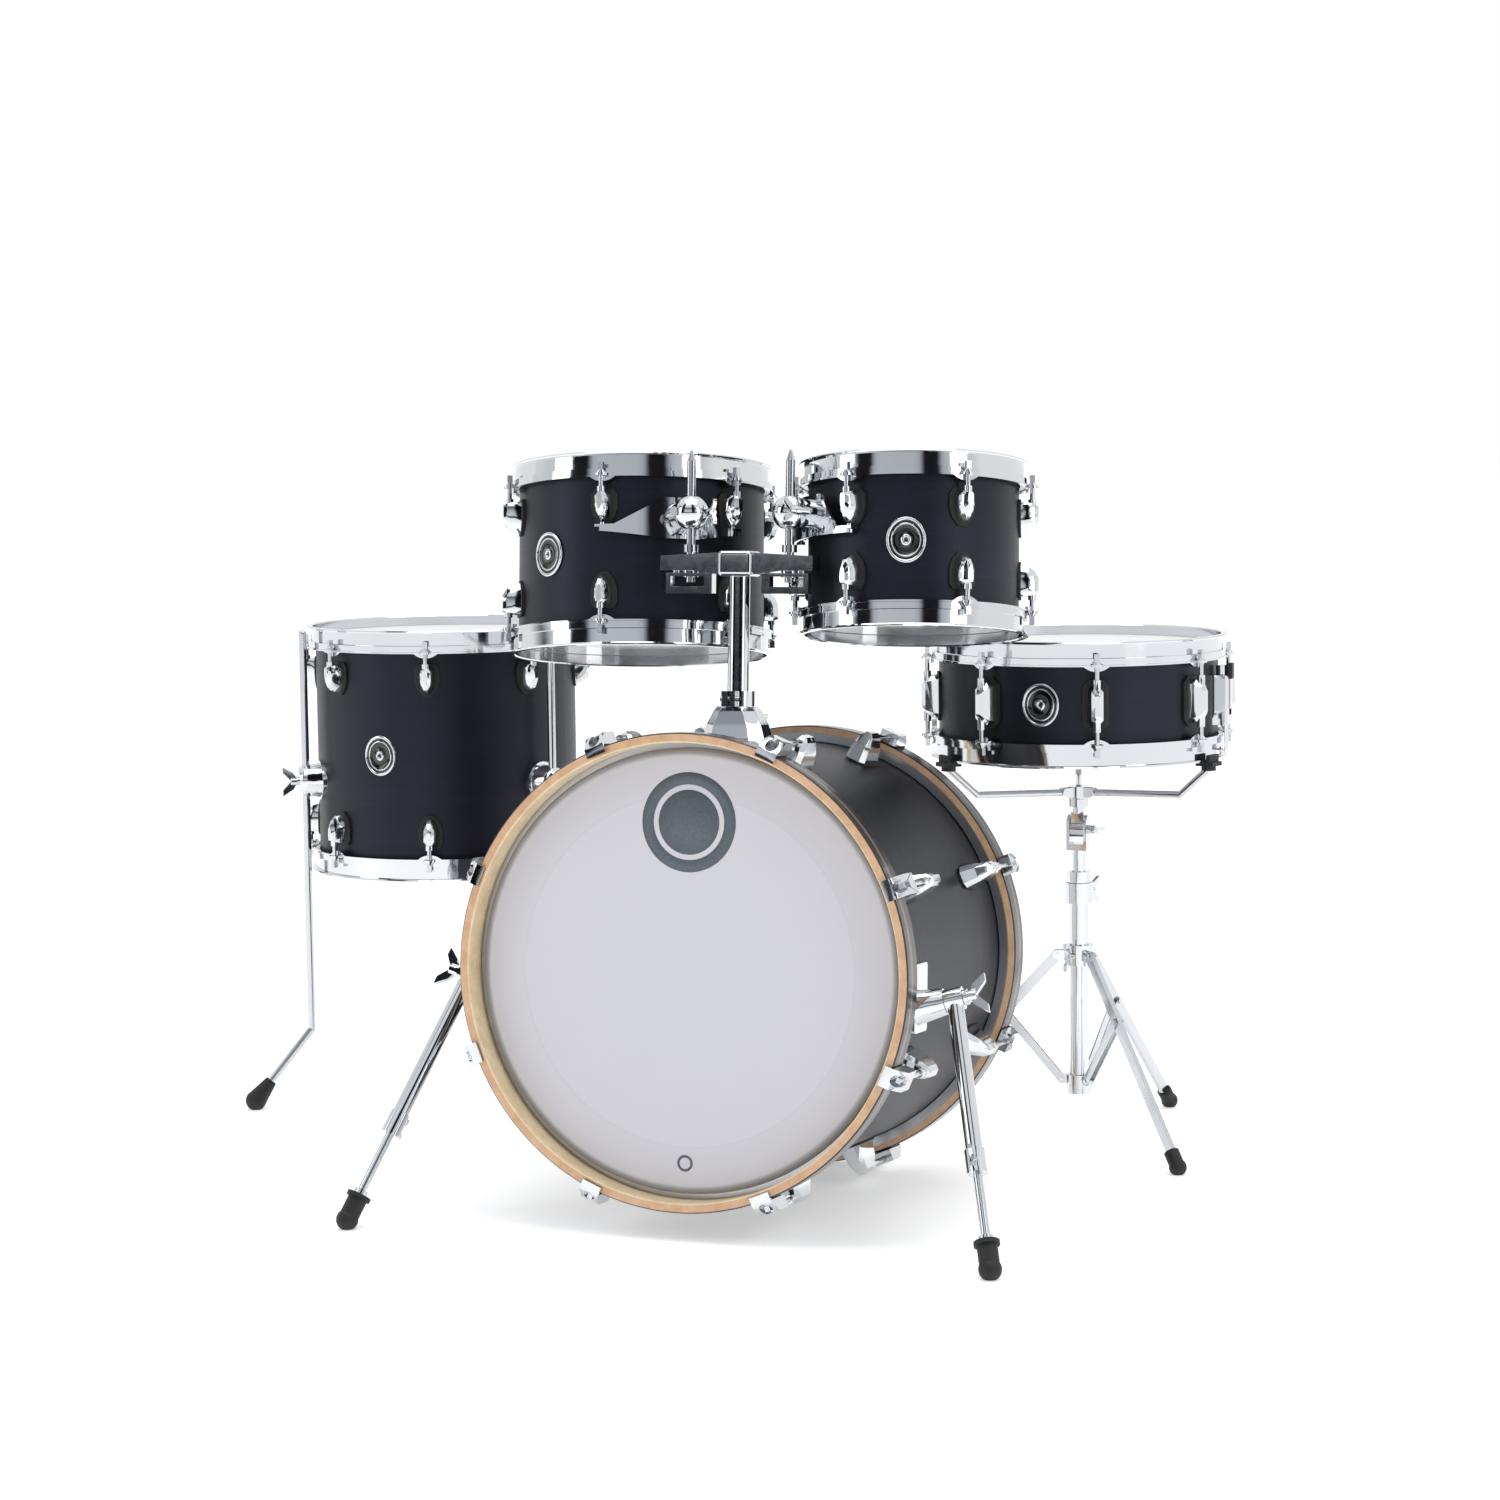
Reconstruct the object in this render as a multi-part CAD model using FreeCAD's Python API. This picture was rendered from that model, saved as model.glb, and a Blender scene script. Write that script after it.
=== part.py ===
"""Acoustic drum kit: bass drum with a double tom holder, two rack toms, a floor tom on
three legs and a snare drum on its folding stand. Millimetres, +Z up, audience at -Y.
Everything is placed from the bass drum's middle, then moved once at the end, so that the
origin lies on the floor under the middle of the whole kit."""
import FreeCAD, Part
import math
import os
from FreeCAD import Placement, Rotation, Vector as V

# ---------------------------------------------------------------- driving dimensions
# drum sizes (shell radius is a little under half the nominal head size)
BASS_R, BASS_LEN = 252.4, 406.4
TOM12_R, TOM12_LEN = 150.8, 203.2
TOM10_R, TOM10_LEN = 125.4, 177.8
FLOOR_R, FLOOR_LEN = 176.2, 304.8
SNARE_R, SNARE_LEN = 176.2, 127.0
SHELL_WALL = 6.0
BASS_WALL = 7.5

# where the drums stand: centre, lean about X, lean about Y, first lug azimuth, lugs
BASS_TILT = 4.0
TOM12_AT, TOM12_LEAN, TOM12_FIRST = V(-187.0, 136.0, 751.0), (-8.8, -2.3), 5.0
TOM10_AT, TOM10_LEAN, TOM10_FIRST = V(174.0, 108.0, 768.0), (-9.0, -2.1), -16.0
FLOOR_AT, FLOOR_FIRST = V(-612.9, 462.9, 486.5), 17.4
SNARE_AT, SNARE_FIRST = V(289.0, 428.6, 573.4), -23.0
RACK_LUGS, BIG_LUGS, BASS_LUGS = 6, 8, 8

# drum heads and steel hoops, measured from the bearing edge
FILM = 0.5
FLESH_IN, FLESH_WIDE, FLESH_TOP, FLESH_TALL = 1.2, 6.0, -8.0, 5.0
HOOP_WALL = 2.0
HOOP_ABOVE, HOOP_BELOW = 14.0, 16.0
RIM_OUT = 12.0
EAR_TALL, EAR_R = 3.0, 7.5
SCALLOP_R, SCALLOP_DROP = 24.0, 6.0

# lugs and tension rods
ROD_OUT = 15.5
ROD_R, ROD_BORE_R = 2.9, 2.95
ROD_IN_LUG = 12.0
HEAD_SQUARE, HEAD_TALL = 6.2, 9.0
WASHER_R, WASHER_TALL = 5.2, 2.2
LUG_TALL, LUG_WIDE, LUG_DEEP = 38.0, 22.0, 21.0
LUG_FROM_EDGE = 52.0
GASKET_TALL, GASKET_WIDE, GASKET_THICK = 44.0, 33.0, 2.4
LUG_RISE = 0.6
SNARE_LUG_TALL = 56.0
RECEIVER_R, RECEIVER_UP = 4.9, 4.0

# bass drum hoops, claws and lugs
WOOD_HOOP_OUT, WOOD_HOOP_WALL, WOOD_HOOP_PAST = 272.5, 11.5, 27.8
BASS_FLESH_OUT = 264.0
CLAW_WIDE, CLAW_WALL, CLAW_LIP = 24.0, 3.5, 8.0
CLAW_PAD = 1.5
BASS_ROD_OUT = 30.0
BASS_LUG_Y = 118.0
BASS_LUG_TALL = 60.0
BASS_KEY_TALL = 12.0

# rubber feet are worn flat by this much where they stand
SOLE_FLAT = 2.5

# spurs: pivot, middle of the rubber foot, fits
SPUR_BULB_R, SPUR_BULB_LEN = 13.0, 45.0
SPUR_PIVOT, SPUR_FOOT = V(300.0, -146.0, 275.0), V(387.0, -305.0, SPUR_BULB_R - SOLE_FLAT)
SPUR_TUBE_R, SPUR_ROD_R, SPUR_FIT = 9.5, 5.0, 0.06
SPUR_TUBE_LEN, SPUR_ROD_START = 182.0, 85.0
SPUR_COLLAR_R, SPUR_COLLAR_LEN = 11.5, 28.0
KNUCKLE_R, KNUCKLE_LEN, SIDE_GAP = 13.0, 21.0, 0.3

# tom holder, in the bass drum's leaning frame
POST_Y, POST_R, POST_FIT = -50.0, 12.7, 0.05
POST_DOWN = 130.0
BASE_TALL, BASE_WIDE, BASE_DEEP = 47.0, 77.0, 58.0
LOCK_R, LOCK_TALL = 20.0, 18.0
HEAD_Z, HEAD_TALL_MID, HEAD_TALL_END, HEAD_HALF = 452.0, 30.0, 17.0, 95.0
HEAD_DEEP = 34.0
ARM_X, ARM_ROD_R, ARM_FIT = 62.0, 5.5, 0.05
ARM_UP, ARM_TIP = 136.0, 12.0
BALL_Z, BALL_R, BALL_FIT = 527.0, 14.0, 0.08
CLAMP_R, CLAMP_NECK_R, CLAMP_SPLIT, CLAMP_SLOT_R = 21.0, 17.0, 0.6, 9.5
BAND_OUT, BAND_THICK = 14.0, 3.0

# floor tom legs
LEG_AZ = (-50.0, 70.0, 190.0)
LEG_R, LEG_OUT, LEG_FIT = 5.25, 22.0, 0.05
LEG_TOP, LEG_KNEE, FOOT_RADIUS = 644.0, 105.0, 278.0
LEG_FOOT_R, LEG_FOOT_TALL = 14.0, 34.0
LEG_BRACKET_Z, LEG_BRACKET_TALL = 445.0, 54.0
LEG_BOSS_R, LEG_BOSS_TIP_R = 24.0, 20.0

# snare drum fittings
STRAINER_AZ = 90.0
STRAINER_LOW = -35.0
LEVER_Z = -12.0
STRAINER_WIDE, STRAINER_TALL, STRAINER_DEEP = 32.0, 62.0, 20.0
WIRES, WIRE_PITCH, WIRE_R, WIRE_GAP = 20, 4.2, 1.0, 0.3
WIRE_HALF_LEN, STRAP_WIDE, WIRE_DROP = 160.0, 20.0, 3.0

# snare stand
STAND_TUBE_R, STAND_FIT = 12.5, 0.08
STAND_BASE_Z, STAND_TUBE_TOP = 60.0, 330.0
BRACE_Z, COLLAR_Z, COLLAR_R, COLLAR_TALL = 78.0, 239.0, 19.0, 26.0
PIVOT_OUT, BRACE_OUT = 27.5, 23.0
TRIPOD_AZ = (-75.0, 45.0, 165.0)
TRIPOD_RADIUS, TRIPOD_FOOT_R = 240.0, 11.0
BRACE_ALONG = 100.0
STRIP_WIDE, STRIP_THICK, LEG_BAR_THICK = 14.0, 2.0, 6.0
UPPER_R, UPPER_BOTTOM, BRIDGE_DOWN = 9.0, 190.0, 22.0
TILTER_Z = 400.0
BASKET_Z = 448.0
BASKET_HUB_R, BASKET_HUB_TALL = 20.0, 30.0
BASKET_AZ = (-45.0, 75.0, 195.0)
BASKET_ARM_R = 4.5
GRIP_LIP, GRIP_THICK, GRIP_WIDE = 9.0, 5.0, 24.0
SNARE_REST_GAP = 0.3

parts = {}


# ---------------------------------------------------------------- helpers
def cyl(radius, height, at=V(0, 0, 0), along=V(0, 0, 1)):
    return Part.makeCylinder(radius, height, at, along)


def tube(outer, inner, height, at=V(0, 0, 0), along=V(0, 0, 1)):
    return cyl(outer, height, at, along).cut(cyl(inner, height, at, along))


def rod(radius, start, end):
    return cyl(radius, (end - start).Length, start, end - start)


def block(size_x, size_y, size_z, centre):
    corner = V(centre.x - size_x / 2, centre.y - size_y / 2, centre.z - size_z / 2)
    return Part.makeBox(size_x, size_y, size_z, corner)


def turned(shape, angle, axis=V(0, 0, 1), centre=V(0, 0, 0)):
    copy = shape.copy()
    copy.rotate(centre, axis, angle)
    return copy


def moved(shape, by):
    copy = shape.copy()
    copy.translate(by)
    return copy


def placed(shape, place):
    copy = shape.copy()
    copy.Placement = place.multiply(copy.Placement)
    return copy


def mirrored(shape, normal=V(0, 0, 1)):
    return shape.mirror(V(0, 0, 0), normal)


def group(shapes):
    return Part.makeCompound([solid for shape in shapes for solid in shape.Solids])


def join(shapes):
    return shapes[0].multiFuse(shapes[1:]).removeSplitter()


def ring(points):
    """Solid of revolution about Z from an outline of (radius, height) points."""
    wire = Part.makePolygon([V(r, 0, z) for r, z in points + points[:1]])
    return Part.Face(wire).revolve(V(0, 0, 0), V(0, 0, 1), 360)


def prism(points, start, along, across, up):
    """Extrude an outline of (across, up) points from start by the vector along."""
    corners = [start + across * a + up * b for a, b in points]
    return Part.Face(Part.makePolygon(corners + corners[:1])).extrude(along)


def azimuth(radius, angle, z=0.0):
    """Point at an angle from -Y towards +X."""
    a = math.radians(angle)
    return V(radius * math.sin(a), -radius * math.cos(a), z)


def oct_outline(half_wide, half_tall, cut):
    return [(-half_wide + cut, -half_tall), (half_wide - cut, -half_tall), (half_wide, -half_tall + cut),
            (half_wide, half_tall - cut), (half_wide - cut, half_tall), (-half_wide + cut, half_tall),
            (-half_wide, half_tall - cut), (-half_wide, -half_tall + cut)]


def shield_outline(half_wide, half_tall):
    """Outline of a lug: square at the rod's end, tapering to a narrow nose."""
    right = [(0.72, 1.0), (1.0, 0.7), (1.0, -0.05), (0.8, -0.55), (0.3, -1.0)]
    left = [(-across, up) for across, up in reversed(right)]
    return [(half_wide * across, half_tall * up) for across, up in right + left]


def rounded(shape, radius, pick=None):
    """Fillet the picked edges, or the sharp casting where the kernel refuses them."""
    edges = [e for e in shape.Edges if pick is None or pick(e)]
    result = shape.makeFillet(radius, edges)
    return result if result.isValid() else shape


def flat_sole(rubber, middle, floor_z):
    """Cut a rubber foot flat at the floor."""
    return rubber.cut(block(120.0, 120.0, 60.0, V(middle.x, middle.y, floor_z - 30.0)))


def wing(at, along, across, reach=17.0, tall=11.0, thick=5.0, stem_r=5.0, stem=9.0):
    """Wing screw: a stem along its axis with two rounded wings across it."""
    along, across = V(along).normalize(), V(across).normalize()
    side = along.cross(across)
    outline = [(-reach, stem + tall), (-reach * 0.55, stem * 0.7), (-stem_r * 0.7, stem * 0.3),
               (stem_r * 0.7, stem * 0.3), (reach * 0.55, stem * 0.7), (reach, stem + tall),
               (reach * 0.6, stem + tall), (0, stem * 0.95), (-reach * 0.6, stem + tall)]
    blade = prism(outline, at - side * (thick / 2), side * thick, across, along)
    return join([cyl(stem_r, stem, at, along), blade])


# ---------------------------------------------------------------- parts common to all drums
def shell(radius, length, wall, lip=1.5, bevel=4.0):
    half = length / 2
    return ring([(radius - wall, -half + bevel), (radius - lip, -half), (radius, -half + lip),
                 (radius, half - lip), (radius - lip, half), (radius - wall, half - bevel)])


def head(radius, length):
    """Film with its collar over the bearing edge, and the flesh ring that carries it."""
    top = length / 2
    collar = FLESH_IN + 0.8
    film = ring([(0, top), (radius - 1.5, top), (radius + 1.0, top - 2.0), (radius + collar, top + FLESH_TOP),
                 (radius + collar + FILM, top + FLESH_TOP), (radius + 1.6, top - 1.6),
                 (radius - 1.2, top + FILM), (0, top + FILM)])
    inner = radius + FLESH_IN
    flesh = tube(inner + FLESH_WIDE, inner, FLESH_TALL, V(0, 0, top + FLESH_TOP - FLESH_TALL))
    return [film, flesh]


def steel_hoop(radius, length, first, count):
    """Pressed hoop: rolled rim, wall, shoulder on the flesh ring, flange and ears."""
    top = length / 2
    wall_in = radius + 4.0
    wall_out = wall_in + HOOP_WALL
    skirt_in = radius + FLESH_IN + FLESH_WIDE + 0.8
    skirt_out = skirt_in + HOOP_WALL
    shoulder = FLESH_TOP
    profile = [(wall_in, shoulder), (wall_in, HOOP_ABOVE - 1.5), (wall_in + 1.2, HOOP_ABOVE),
               (radius + RIM_OUT - 1.0, HOOP_ABOVE), (radius + RIM_OUT, HOOP_ABOVE - 1.5),
               (radius + RIM_OUT - 1.0, HOOP_ABOVE - 3.0), (wall_out, HOOP_ABOVE - 3.0),
               (wall_out, shoulder + HOOP_WALL), (skirt_out, shoulder + HOOP_WALL),
               (skirt_out, -HOOP_BELOW + HOOP_WALL), (skirt_out + 1.5, -HOOP_BELOW + HOOP_WALL),
               (skirt_out + 1.5, -HOOP_BELOW), (skirt_in, -HOOP_BELOW), (skirt_in, shoulder)]
    band = ring([(r, top + z) for r, z in profile])
    ears = []
    skirt = tube(skirt_out + 1.5, skirt_in, SCALLOP_DROP, V(0, 0, top - HOOP_BELOW - SCALLOP_DROP))
    for k in range(count):
        angle = first + k * 360.0 / count
        out = azimuth(1, angle)
        arch_z = top - HOOP_BELOW - SCALLOP_DROP + SCALLOP_R
        arch = cyl(SCALLOP_R, 2 * RIM_OUT, out * (radius - 2) + V(0, 0, arch_z), out)
        ears.append(skirt.common(arch))
        ear_z = top - HOOP_BELOW
        tongue = block(2 * EAR_R, radius + ROD_OUT - skirt_in, EAR_TALL,
                       V(0, -(radius + ROD_OUT + skirt_in) / 2, ear_z + EAR_TALL / 2))
        tip = cyl(EAR_R, EAR_TALL, V(0, -(radius + ROD_OUT), ear_z))
        ears.append(turned(tongue.fuse(tip), angle))
    hoop = join([band] + ears)
    holes = [cyl(ROD_R + 0.3, 4 * HOOP_BELOW, azimuth(radius + ROD_OUT, first + k * 360.0 / count,
                                                     top - 3 * HOOP_BELOW)) for k in range(count)]
    for hole in holes:
        hoop = hoop.cut(hole)
    return hoop


def tension_rod(radius, length, lug_top):
    """Key rod from the ear of the hoop down into the lug, with its washer; built at -Y."""
    seat = length / 2 - HOOP_BELOW + EAR_TALL
    at = V(0, -(radius + ROD_OUT), 0)
    stem = cyl(ROD_R, seat - lug_top + ROD_IN_LUG, at + V(0, 0, lug_top - ROD_IN_LUG))
    washer = cyl(WASHER_R, WASHER_TALL, at + V(0, 0, seat))
    collar = cyl(WASHER_R - 1.6, 1.8, at + V(0, 0, seat + WASHER_TALL))
    square = block(HEAD_SQUARE, HEAD_SQUARE, HEAD_TALL,
                   at + V(0, 0, seat + WASHER_TALL + 1.8 + HEAD_TALL / 2))
    return join([stem, washer, collar, square])


def lug(radius, centre_z, tall, wide, deep, both_ends=False):
    """Faceted cast lug on its gasket, with the swivel receiver for the rod; built at -Y."""
    gasket_tall = tall + GASKET_TALL - LUG_TALL
    gasket_outline = shield_outline(GASKET_WIDE / 2, gasket_tall / 2)
    if both_ends:
        gasket_outline = oct_outline(GASKET_WIDE / 2, gasket_tall / 2, 8.0)
    gasket = prism(gasket_outline, V(0, -(radius + GASKET_THICK), centre_z), V(0, GASKET_THICK + 4.0, 0),
                   V(1, 0, 0), V(0, 0, 1))
    gasket = gasket.cut(cyl(radius, 4 * tall, V(0, 0, centre_z - 2 * tall)))
    face = -(radius + GASKET_THICK)
    steps = ((0.0, 1.0, 1.0), (0.4, 0.94, 0.94), (0.78, 0.66, 0.76), (1.0, 0.3, 0.5))
    wires = []
    for depth, wide_share, tall_share in steps:
        outline = shield_outline(wide / 2 * wide_share, tall / 2 * tall_share)
        rise = tall / 2 * (1 - tall_share) * LUG_RISE
        if both_ends:
            outline = oct_outline(wide / 2 * wide_share, tall / 2 * tall_share, wide / 2 * wide_share * 0.55)
            rise = 0.0
        corners = [V(a, face - deep * depth, centre_z + b + rise) for a, b in outline]
        wires.append(Part.makePolygon(corners + corners[:1]))
    body = Part.makeLoft(wires, True, True)
    axis_y = -(radius + ROD_OUT)
    pieces = [body]
    low = centre_z - tall / 2 - (RECEIVER_UP if both_ends else 0.0)
    high = centre_z + tall / 2 + RECEIVER_UP
    pieces.append(cyl(RECEIVER_R, high - centre_z, V(0, axis_y, centre_z)))
    if both_ends:
        pieces.append(cyl(RECEIVER_R, centre_z - low, V(0, axis_y, low)))
    casting = join(pieces)
    casting = casting.cut(cyl(ROD_BORE_R, ROD_IN_LUG + 1.0, V(0, axis_y, high - ROD_IN_LUG - 1.0)))
    if both_ends:
        casting = casting.cut(cyl(ROD_BORE_R, ROD_IN_LUG + 1.0, V(0, axis_y, low)))
    return [gasket, casting]


def around(shapes, first, count):
    return [turned(shape, first + k * 360.0 / count) for shape in shapes for k in range(count)]


def build_drum(name, radius, length, first, count, place, snare=False):
    """Shell, heads, hoops, lugs and rods of one upright drum, saved as five nodes."""
    lug_z = 0.0 if snare else length / 2 - LUG_FROM_EDGE
    lug_tall = SNARE_LUG_TALL if snare else LUG_TALL
    lugs = around(lug(radius, lug_z, lug_tall, LUG_WIDE, LUG_DEEP, snare), first, count)
    if not snare:
        lugs += [mirrored(shape) for shape in lugs]
    rods = around([tension_rod(radius, length, lug_z + lug_tall / 2 + RECEIVER_UP)], first, count)
    rods += [mirrored(shape) for shape in rods]
    hoop = steel_hoop(radius, length, first, count)
    heads = head(radius, length)
    parts[name + "_shell"] = placed(shell(radius, length, SHELL_WALL), place)
    parts[name + "_heads"] = placed(group(heads + [mirrored(shape) for shape in heads]), place)
    parts[name + "_hoops"] = placed(group([hoop, mirrored(hoop)]), place)
    parts[name + "_lugs"] = placed(group(lugs), place)
    parts[name + "_rods"] = placed(group(rods), place)


def lean(at, angles=(0.0, 0.0)):
    turn = Rotation(V(1, 0, 0), angles[0]).multiply(Rotation(V(0, 1, 0), angles[1]))
    return Placement(at, turn)


# ---------------------------------------------------------------- bass drum
half_bass = BASS_LEN / 2
face_bass = half_bass + WOOD_HOOP_PAST
tilt_rad = math.radians(BASS_TILT)
BASS_Z = face_bass * math.sin(tilt_rad) + WOOD_HOOP_OUT * math.cos(tilt_rad)
bass_frame = Placement(V(0, 0, BASS_Z), Rotation(V(1, 0, 0), -BASS_TILT))
bass_place = bass_frame.multiply(Placement(V(0, 0, 0), Rotation(V(1, 0, 0), 90)))


def wood_hoop():
    inner = WOOD_HOOP_OUT - WOOD_HOOP_WALL
    z0, z1 = half_bass + FLESH_TOP, face_bass
    soft = 1.5
    return ring([(inner, z0), (inner, z1 - soft), (inner + soft, z1), (WOOD_HOOP_OUT - soft, z1),
                 (WOOD_HOOP_OUT, z1 - soft), (WOOD_HOOP_OUT, z0 + soft), (WOOD_HOOP_OUT - soft, z0)])


def bass_head():
    film, _ = head(BASS_R, BASS_LEN)
    inner = BASS_R + FLESH_IN
    flesh = tube(BASS_FLESH_OUT, inner, FLESH_TALL, V(0, 0, half_bass + FLESH_TOP - FLESH_TALL))
    return [film, flesh]


def claw():
    """Claw hook over the wood hoop with a rubber pad, its ear round the rod; built at -Y."""
    pad_out = WOOD_HOOP_OUT + CLAW_PAD
    out = pad_out + CLAW_WALL
    front = face_bass + CLAW_PAD
    lip_in = WOOD_HOOP_OUT - CLAW_LIP
    back = half_bass + FLESH_TOP - 4.0
    axis = BASS_R + BASS_ROD_OUT
    side = [(lip_in, front), (lip_in, front + CLAW_WALL), (out - 3.0, front + CLAW_WALL), (out, front + 1.0),
            (axis + 6.0, front - 13.0), (axis + 6.0, back), (pad_out, back), (pad_out, front)]
    body = prism(side, V(-CLAW_WIDE / 2, 0, 0), V(CLAW_WIDE, 0, 0), V(0, -1, 0), V(0, 0, 1))
    body = body.cut(cyl(ROD_R + 0.4, BASS_LEN, V(0, -axis, 0)))
    body = body.cut(cyl(7.0, 60.0, V(0, -axis, front - 22.0)))
    pad_side = [(lip_in, face_bass), (lip_in, front), (pad_out, front), (pad_out, back + 6.0),
                (WOOD_HOOP_OUT, back + 6.0), (WOOD_HOOP_OUT, face_bass)]
    pad = prism(pad_side, V(-CLAW_WIDE / 2 + 1, 0, 0), V(CLAW_WIDE - 2, 0, 0), V(0, -1, 0), V(0, 0, 1))
    pad = pad.cut(cyl(WOOD_HOOP_OUT, face_bass, V(0, 0, 0)))
    return [body, pad]


def bass_rod():
    """Long key rod seated in its claw and running back to the lug; built at -Y."""
    axis = BASS_R + BASS_ROD_OUT
    seat = face_bass + CLAW_PAD - 22.0
    end = BASS_LUG_Y + BASS_LUG_TALL / 2 + RECEIVER_UP - ROD_IN_LUG
    at = V(0, -axis, 0)
    stem = cyl(ROD_R, seat - end, at + V(0, 0, end))
    washer = cyl(WASHER_R, WASHER_TALL, at + V(0, 0, seat))
    key = block(HEAD_SQUARE, HEAD_SQUARE, BASS_KEY_TALL, at + V(0, 0, seat + WASHER_TALL + BASS_KEY_TALL / 2))
    return join([stem, washer, key])


def bass_lug():
    """The bass lug stands taller than a tom lug, so its rod clears the wood hoop."""
    gasket, _ = lug(BASS_R, BASS_LUG_Y, BASS_LUG_TALL, LUG_WIDE, LUG_DEEP)
    face = -(BASS_R + GASKET_THICK)
    deep = BASS_ROD_OUT + RECEIVER_R + 3.0 - GASKET_THICK
    steps = ((0.0, 1.0, 1.0), (0.5, 0.85, 0.86), (0.85, 0.6, 0.6), (1.0, 0.3, 0.46))
    wires = []
    for depth, wide_share, tall_share in steps:
        outline = oct_outline(13.0 * wide_share, BASS_LUG_TALL / 2 * tall_share, 6.0 * wide_share)
        corners = [V(a, face - deep * depth, BASS_LUG_Y + b) for a, b in outline]
        wires.append(Part.makePolygon(corners + corners[:1]))
    body = Part.makeLoft(wires, True, True)
    high = BASS_LUG_Y + BASS_LUG_TALL / 2 + RECEIVER_UP
    axis = V(0, -(BASS_R + BASS_ROD_OUT), 0)
    casting = join([body, cyl(RECEIVER_R, high - BASS_LUG_Y, axis + V(0, 0, BASS_LUG_Y))])
    casting = casting.cut(cyl(ROD_BORE_R, ROD_IN_LUG + 1.0, axis + V(0, 0, high - ROD_IN_LUG - 1.0)))
    return [gasket, casting]


def build_bass():
    step = 360.0 / BASS_LUGS
    post_hole = cyl(POST_R + 1.5, 2 * BASS_R, V(0, POST_Y, 0))
    body = placed(shell(BASS_R, BASS_LEN, BASS_WALL), Placement(V(0, 0, 0), Rotation(V(1, 0, 0), 90)))
    parts["bass_shell"] = placed(body.cut(post_hole), bass_frame)
    hoop = wood_hoop()
    parts["bass_front_hoop"] = placed(hoop, bass_place)
    parts["bass_rear_hoop"] = placed(mirrored(hoop), bass_place)
    heads = bass_head()
    parts["bass_front_head"] = placed(group(heads), bass_place)
    parts["bass_rear_head"] = placed(group([mirrored(shape) for shape in heads]), bass_place)
    for name, shapes in (("bass_lugs", bass_lug()), ("bass_claws", claw()), ("bass_rods", [bass_rod()])):
        spread = around(shapes, step / 2, BASS_LUGS)
        spread += [mirrored(shape) for shape in spread]
        parts[name] = placed(group(spread), bass_place)


# ---------------------------------------------------------------- spurs
def spur_axes(side):
    """Pivot point, direction down the leg and hinge axis of the spur on one side."""
    pivot = V(SPUR_PIVOT.x * side, SPUR_PIVOT.y, SPUR_PIVOT.z)
    foot = V(SPUR_FOOT.x * side, SPUR_FOOT.y, SPUR_FOOT.z)
    down = (foot - pivot).normalize()
    outward = V(side, 0, 0)
    axis = (outward - down * outward.dot(down)).normalize()
    return pivot, foot, down, axis


def spur_bracket(side):
    """Shell plate and pivot boss, the pivot bolt through the knuckle, and its wing nut."""
    pivot, _, down, axis = spur_axes(side)
    half = KNUCKLE_LEN / 2
    inside = bass_frame.inverse().multVec(pivot)
    plate = block(60.0, 46.0, 78.0, V(side * (BASS_R + 30.0 - 22.0), inside.y, inside.z))
    slope = block(60.0, 60.0, 120.0, V(side * (BASS_R + 38.0), inside.y, inside.z))
    plate = rounded(plate.cut(slope), 5.0, lambda e: abs(e.BoundBox.XLength) > 10)
    drum = cyl(BASS_R, BASS_LEN, V(0, half_bass, 0), V(0, -1, 0))
    plate = placed(plate.cut(drum), bass_frame)
    drum = placed(drum, bass_frame)
    boss = Part.makeCone(22.0, KNUCKLE_R + 2.0, 48.0, pivot - axis * (half + SIDE_GAP + 48.0), axis).cut(drum)
    casting = join([plate, boss])
    bolt = cyl(4.0, KNUCKLE_LEN + 2 * SIDE_GAP, pivot - axis * (half + SIDE_GAP), axis)
    nut = cyl(9.0, 5.0, pivot + axis * (half + SIDE_GAP), axis)
    handle = wing(pivot + axis * (half + SIDE_GAP + 5.0), axis, down, 24.0, 12.0, 6.0, 7.0, 10.0)
    return [join([casting, bolt]), join([nut, handle])]


def spur_tube(side):
    """Outer tube hinged at its knuckle, and the clamp collar with its own wing screw."""
    pivot, _, down, axis = spur_axes(side)
    across = down.cross(axis)
    knuckle = cyl(KNUCKLE_R, KNUCKLE_LEN, pivot - axis * (KNUCKLE_LEN / 2), axis)
    pipe = rod(SPUR_TUBE_R, pivot + down * 6.0, pivot + down * SPUR_TUBE_LEN)
    body = join([knuckle, pipe])
    body = body.cut(cyl(4.0 + SPUR_FIT, KNUCKLE_LEN, pivot - axis * (KNUCKLE_LEN / 2), axis))
    collar_at = pivot + down * SPUR_TUBE_LEN
    collar = cyl(SPUR_COLLAR_R, SPUR_COLLAR_LEN, collar_at, down)
    screw = wing(collar_at + down * (SPUR_COLLAR_LEN / 2) + across * (SPUR_COLLAR_R - 1.5), across, down,
                 13.0, 7.0, 4.0, 4.0, 7.0)
    bore_start = pivot + down * (SPUR_ROD_START - 60.0)
    bore = rod(SPUR_ROD_R + SPUR_FIT, bore_start, collar_at + down * (SPUR_COLLAR_LEN + 1.0))
    return [body.cut(bore), join([collar, screw]).cut(bore)]


def spur_rod(side):
    """Inner rod, its lock nut and the rubber bulb that stands on the floor."""
    pivot, foot, down, _ = spur_axes(side)
    bulb_start = foot - down * (SPUR_BULB_LEN - SPUR_BULB_R)
    inner = rod(SPUR_ROD_R, pivot + down * SPUR_ROD_START, bulb_start)
    nut = cyl(8.0, 6.0, bulb_start - down * 6.0, down)
    bulb = rod(SPUR_BULB_R - 1.5, bulb_start, foot)
    bulb = join([bulb, Part.makeSphere(SPUR_BULB_R, foot), cyl(SPUR_BULB_R + 1.5, 5.0, bulb_start, down)])
    return [join([inner, nut]), flat_sole(bulb, foot, 0.0)]


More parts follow.
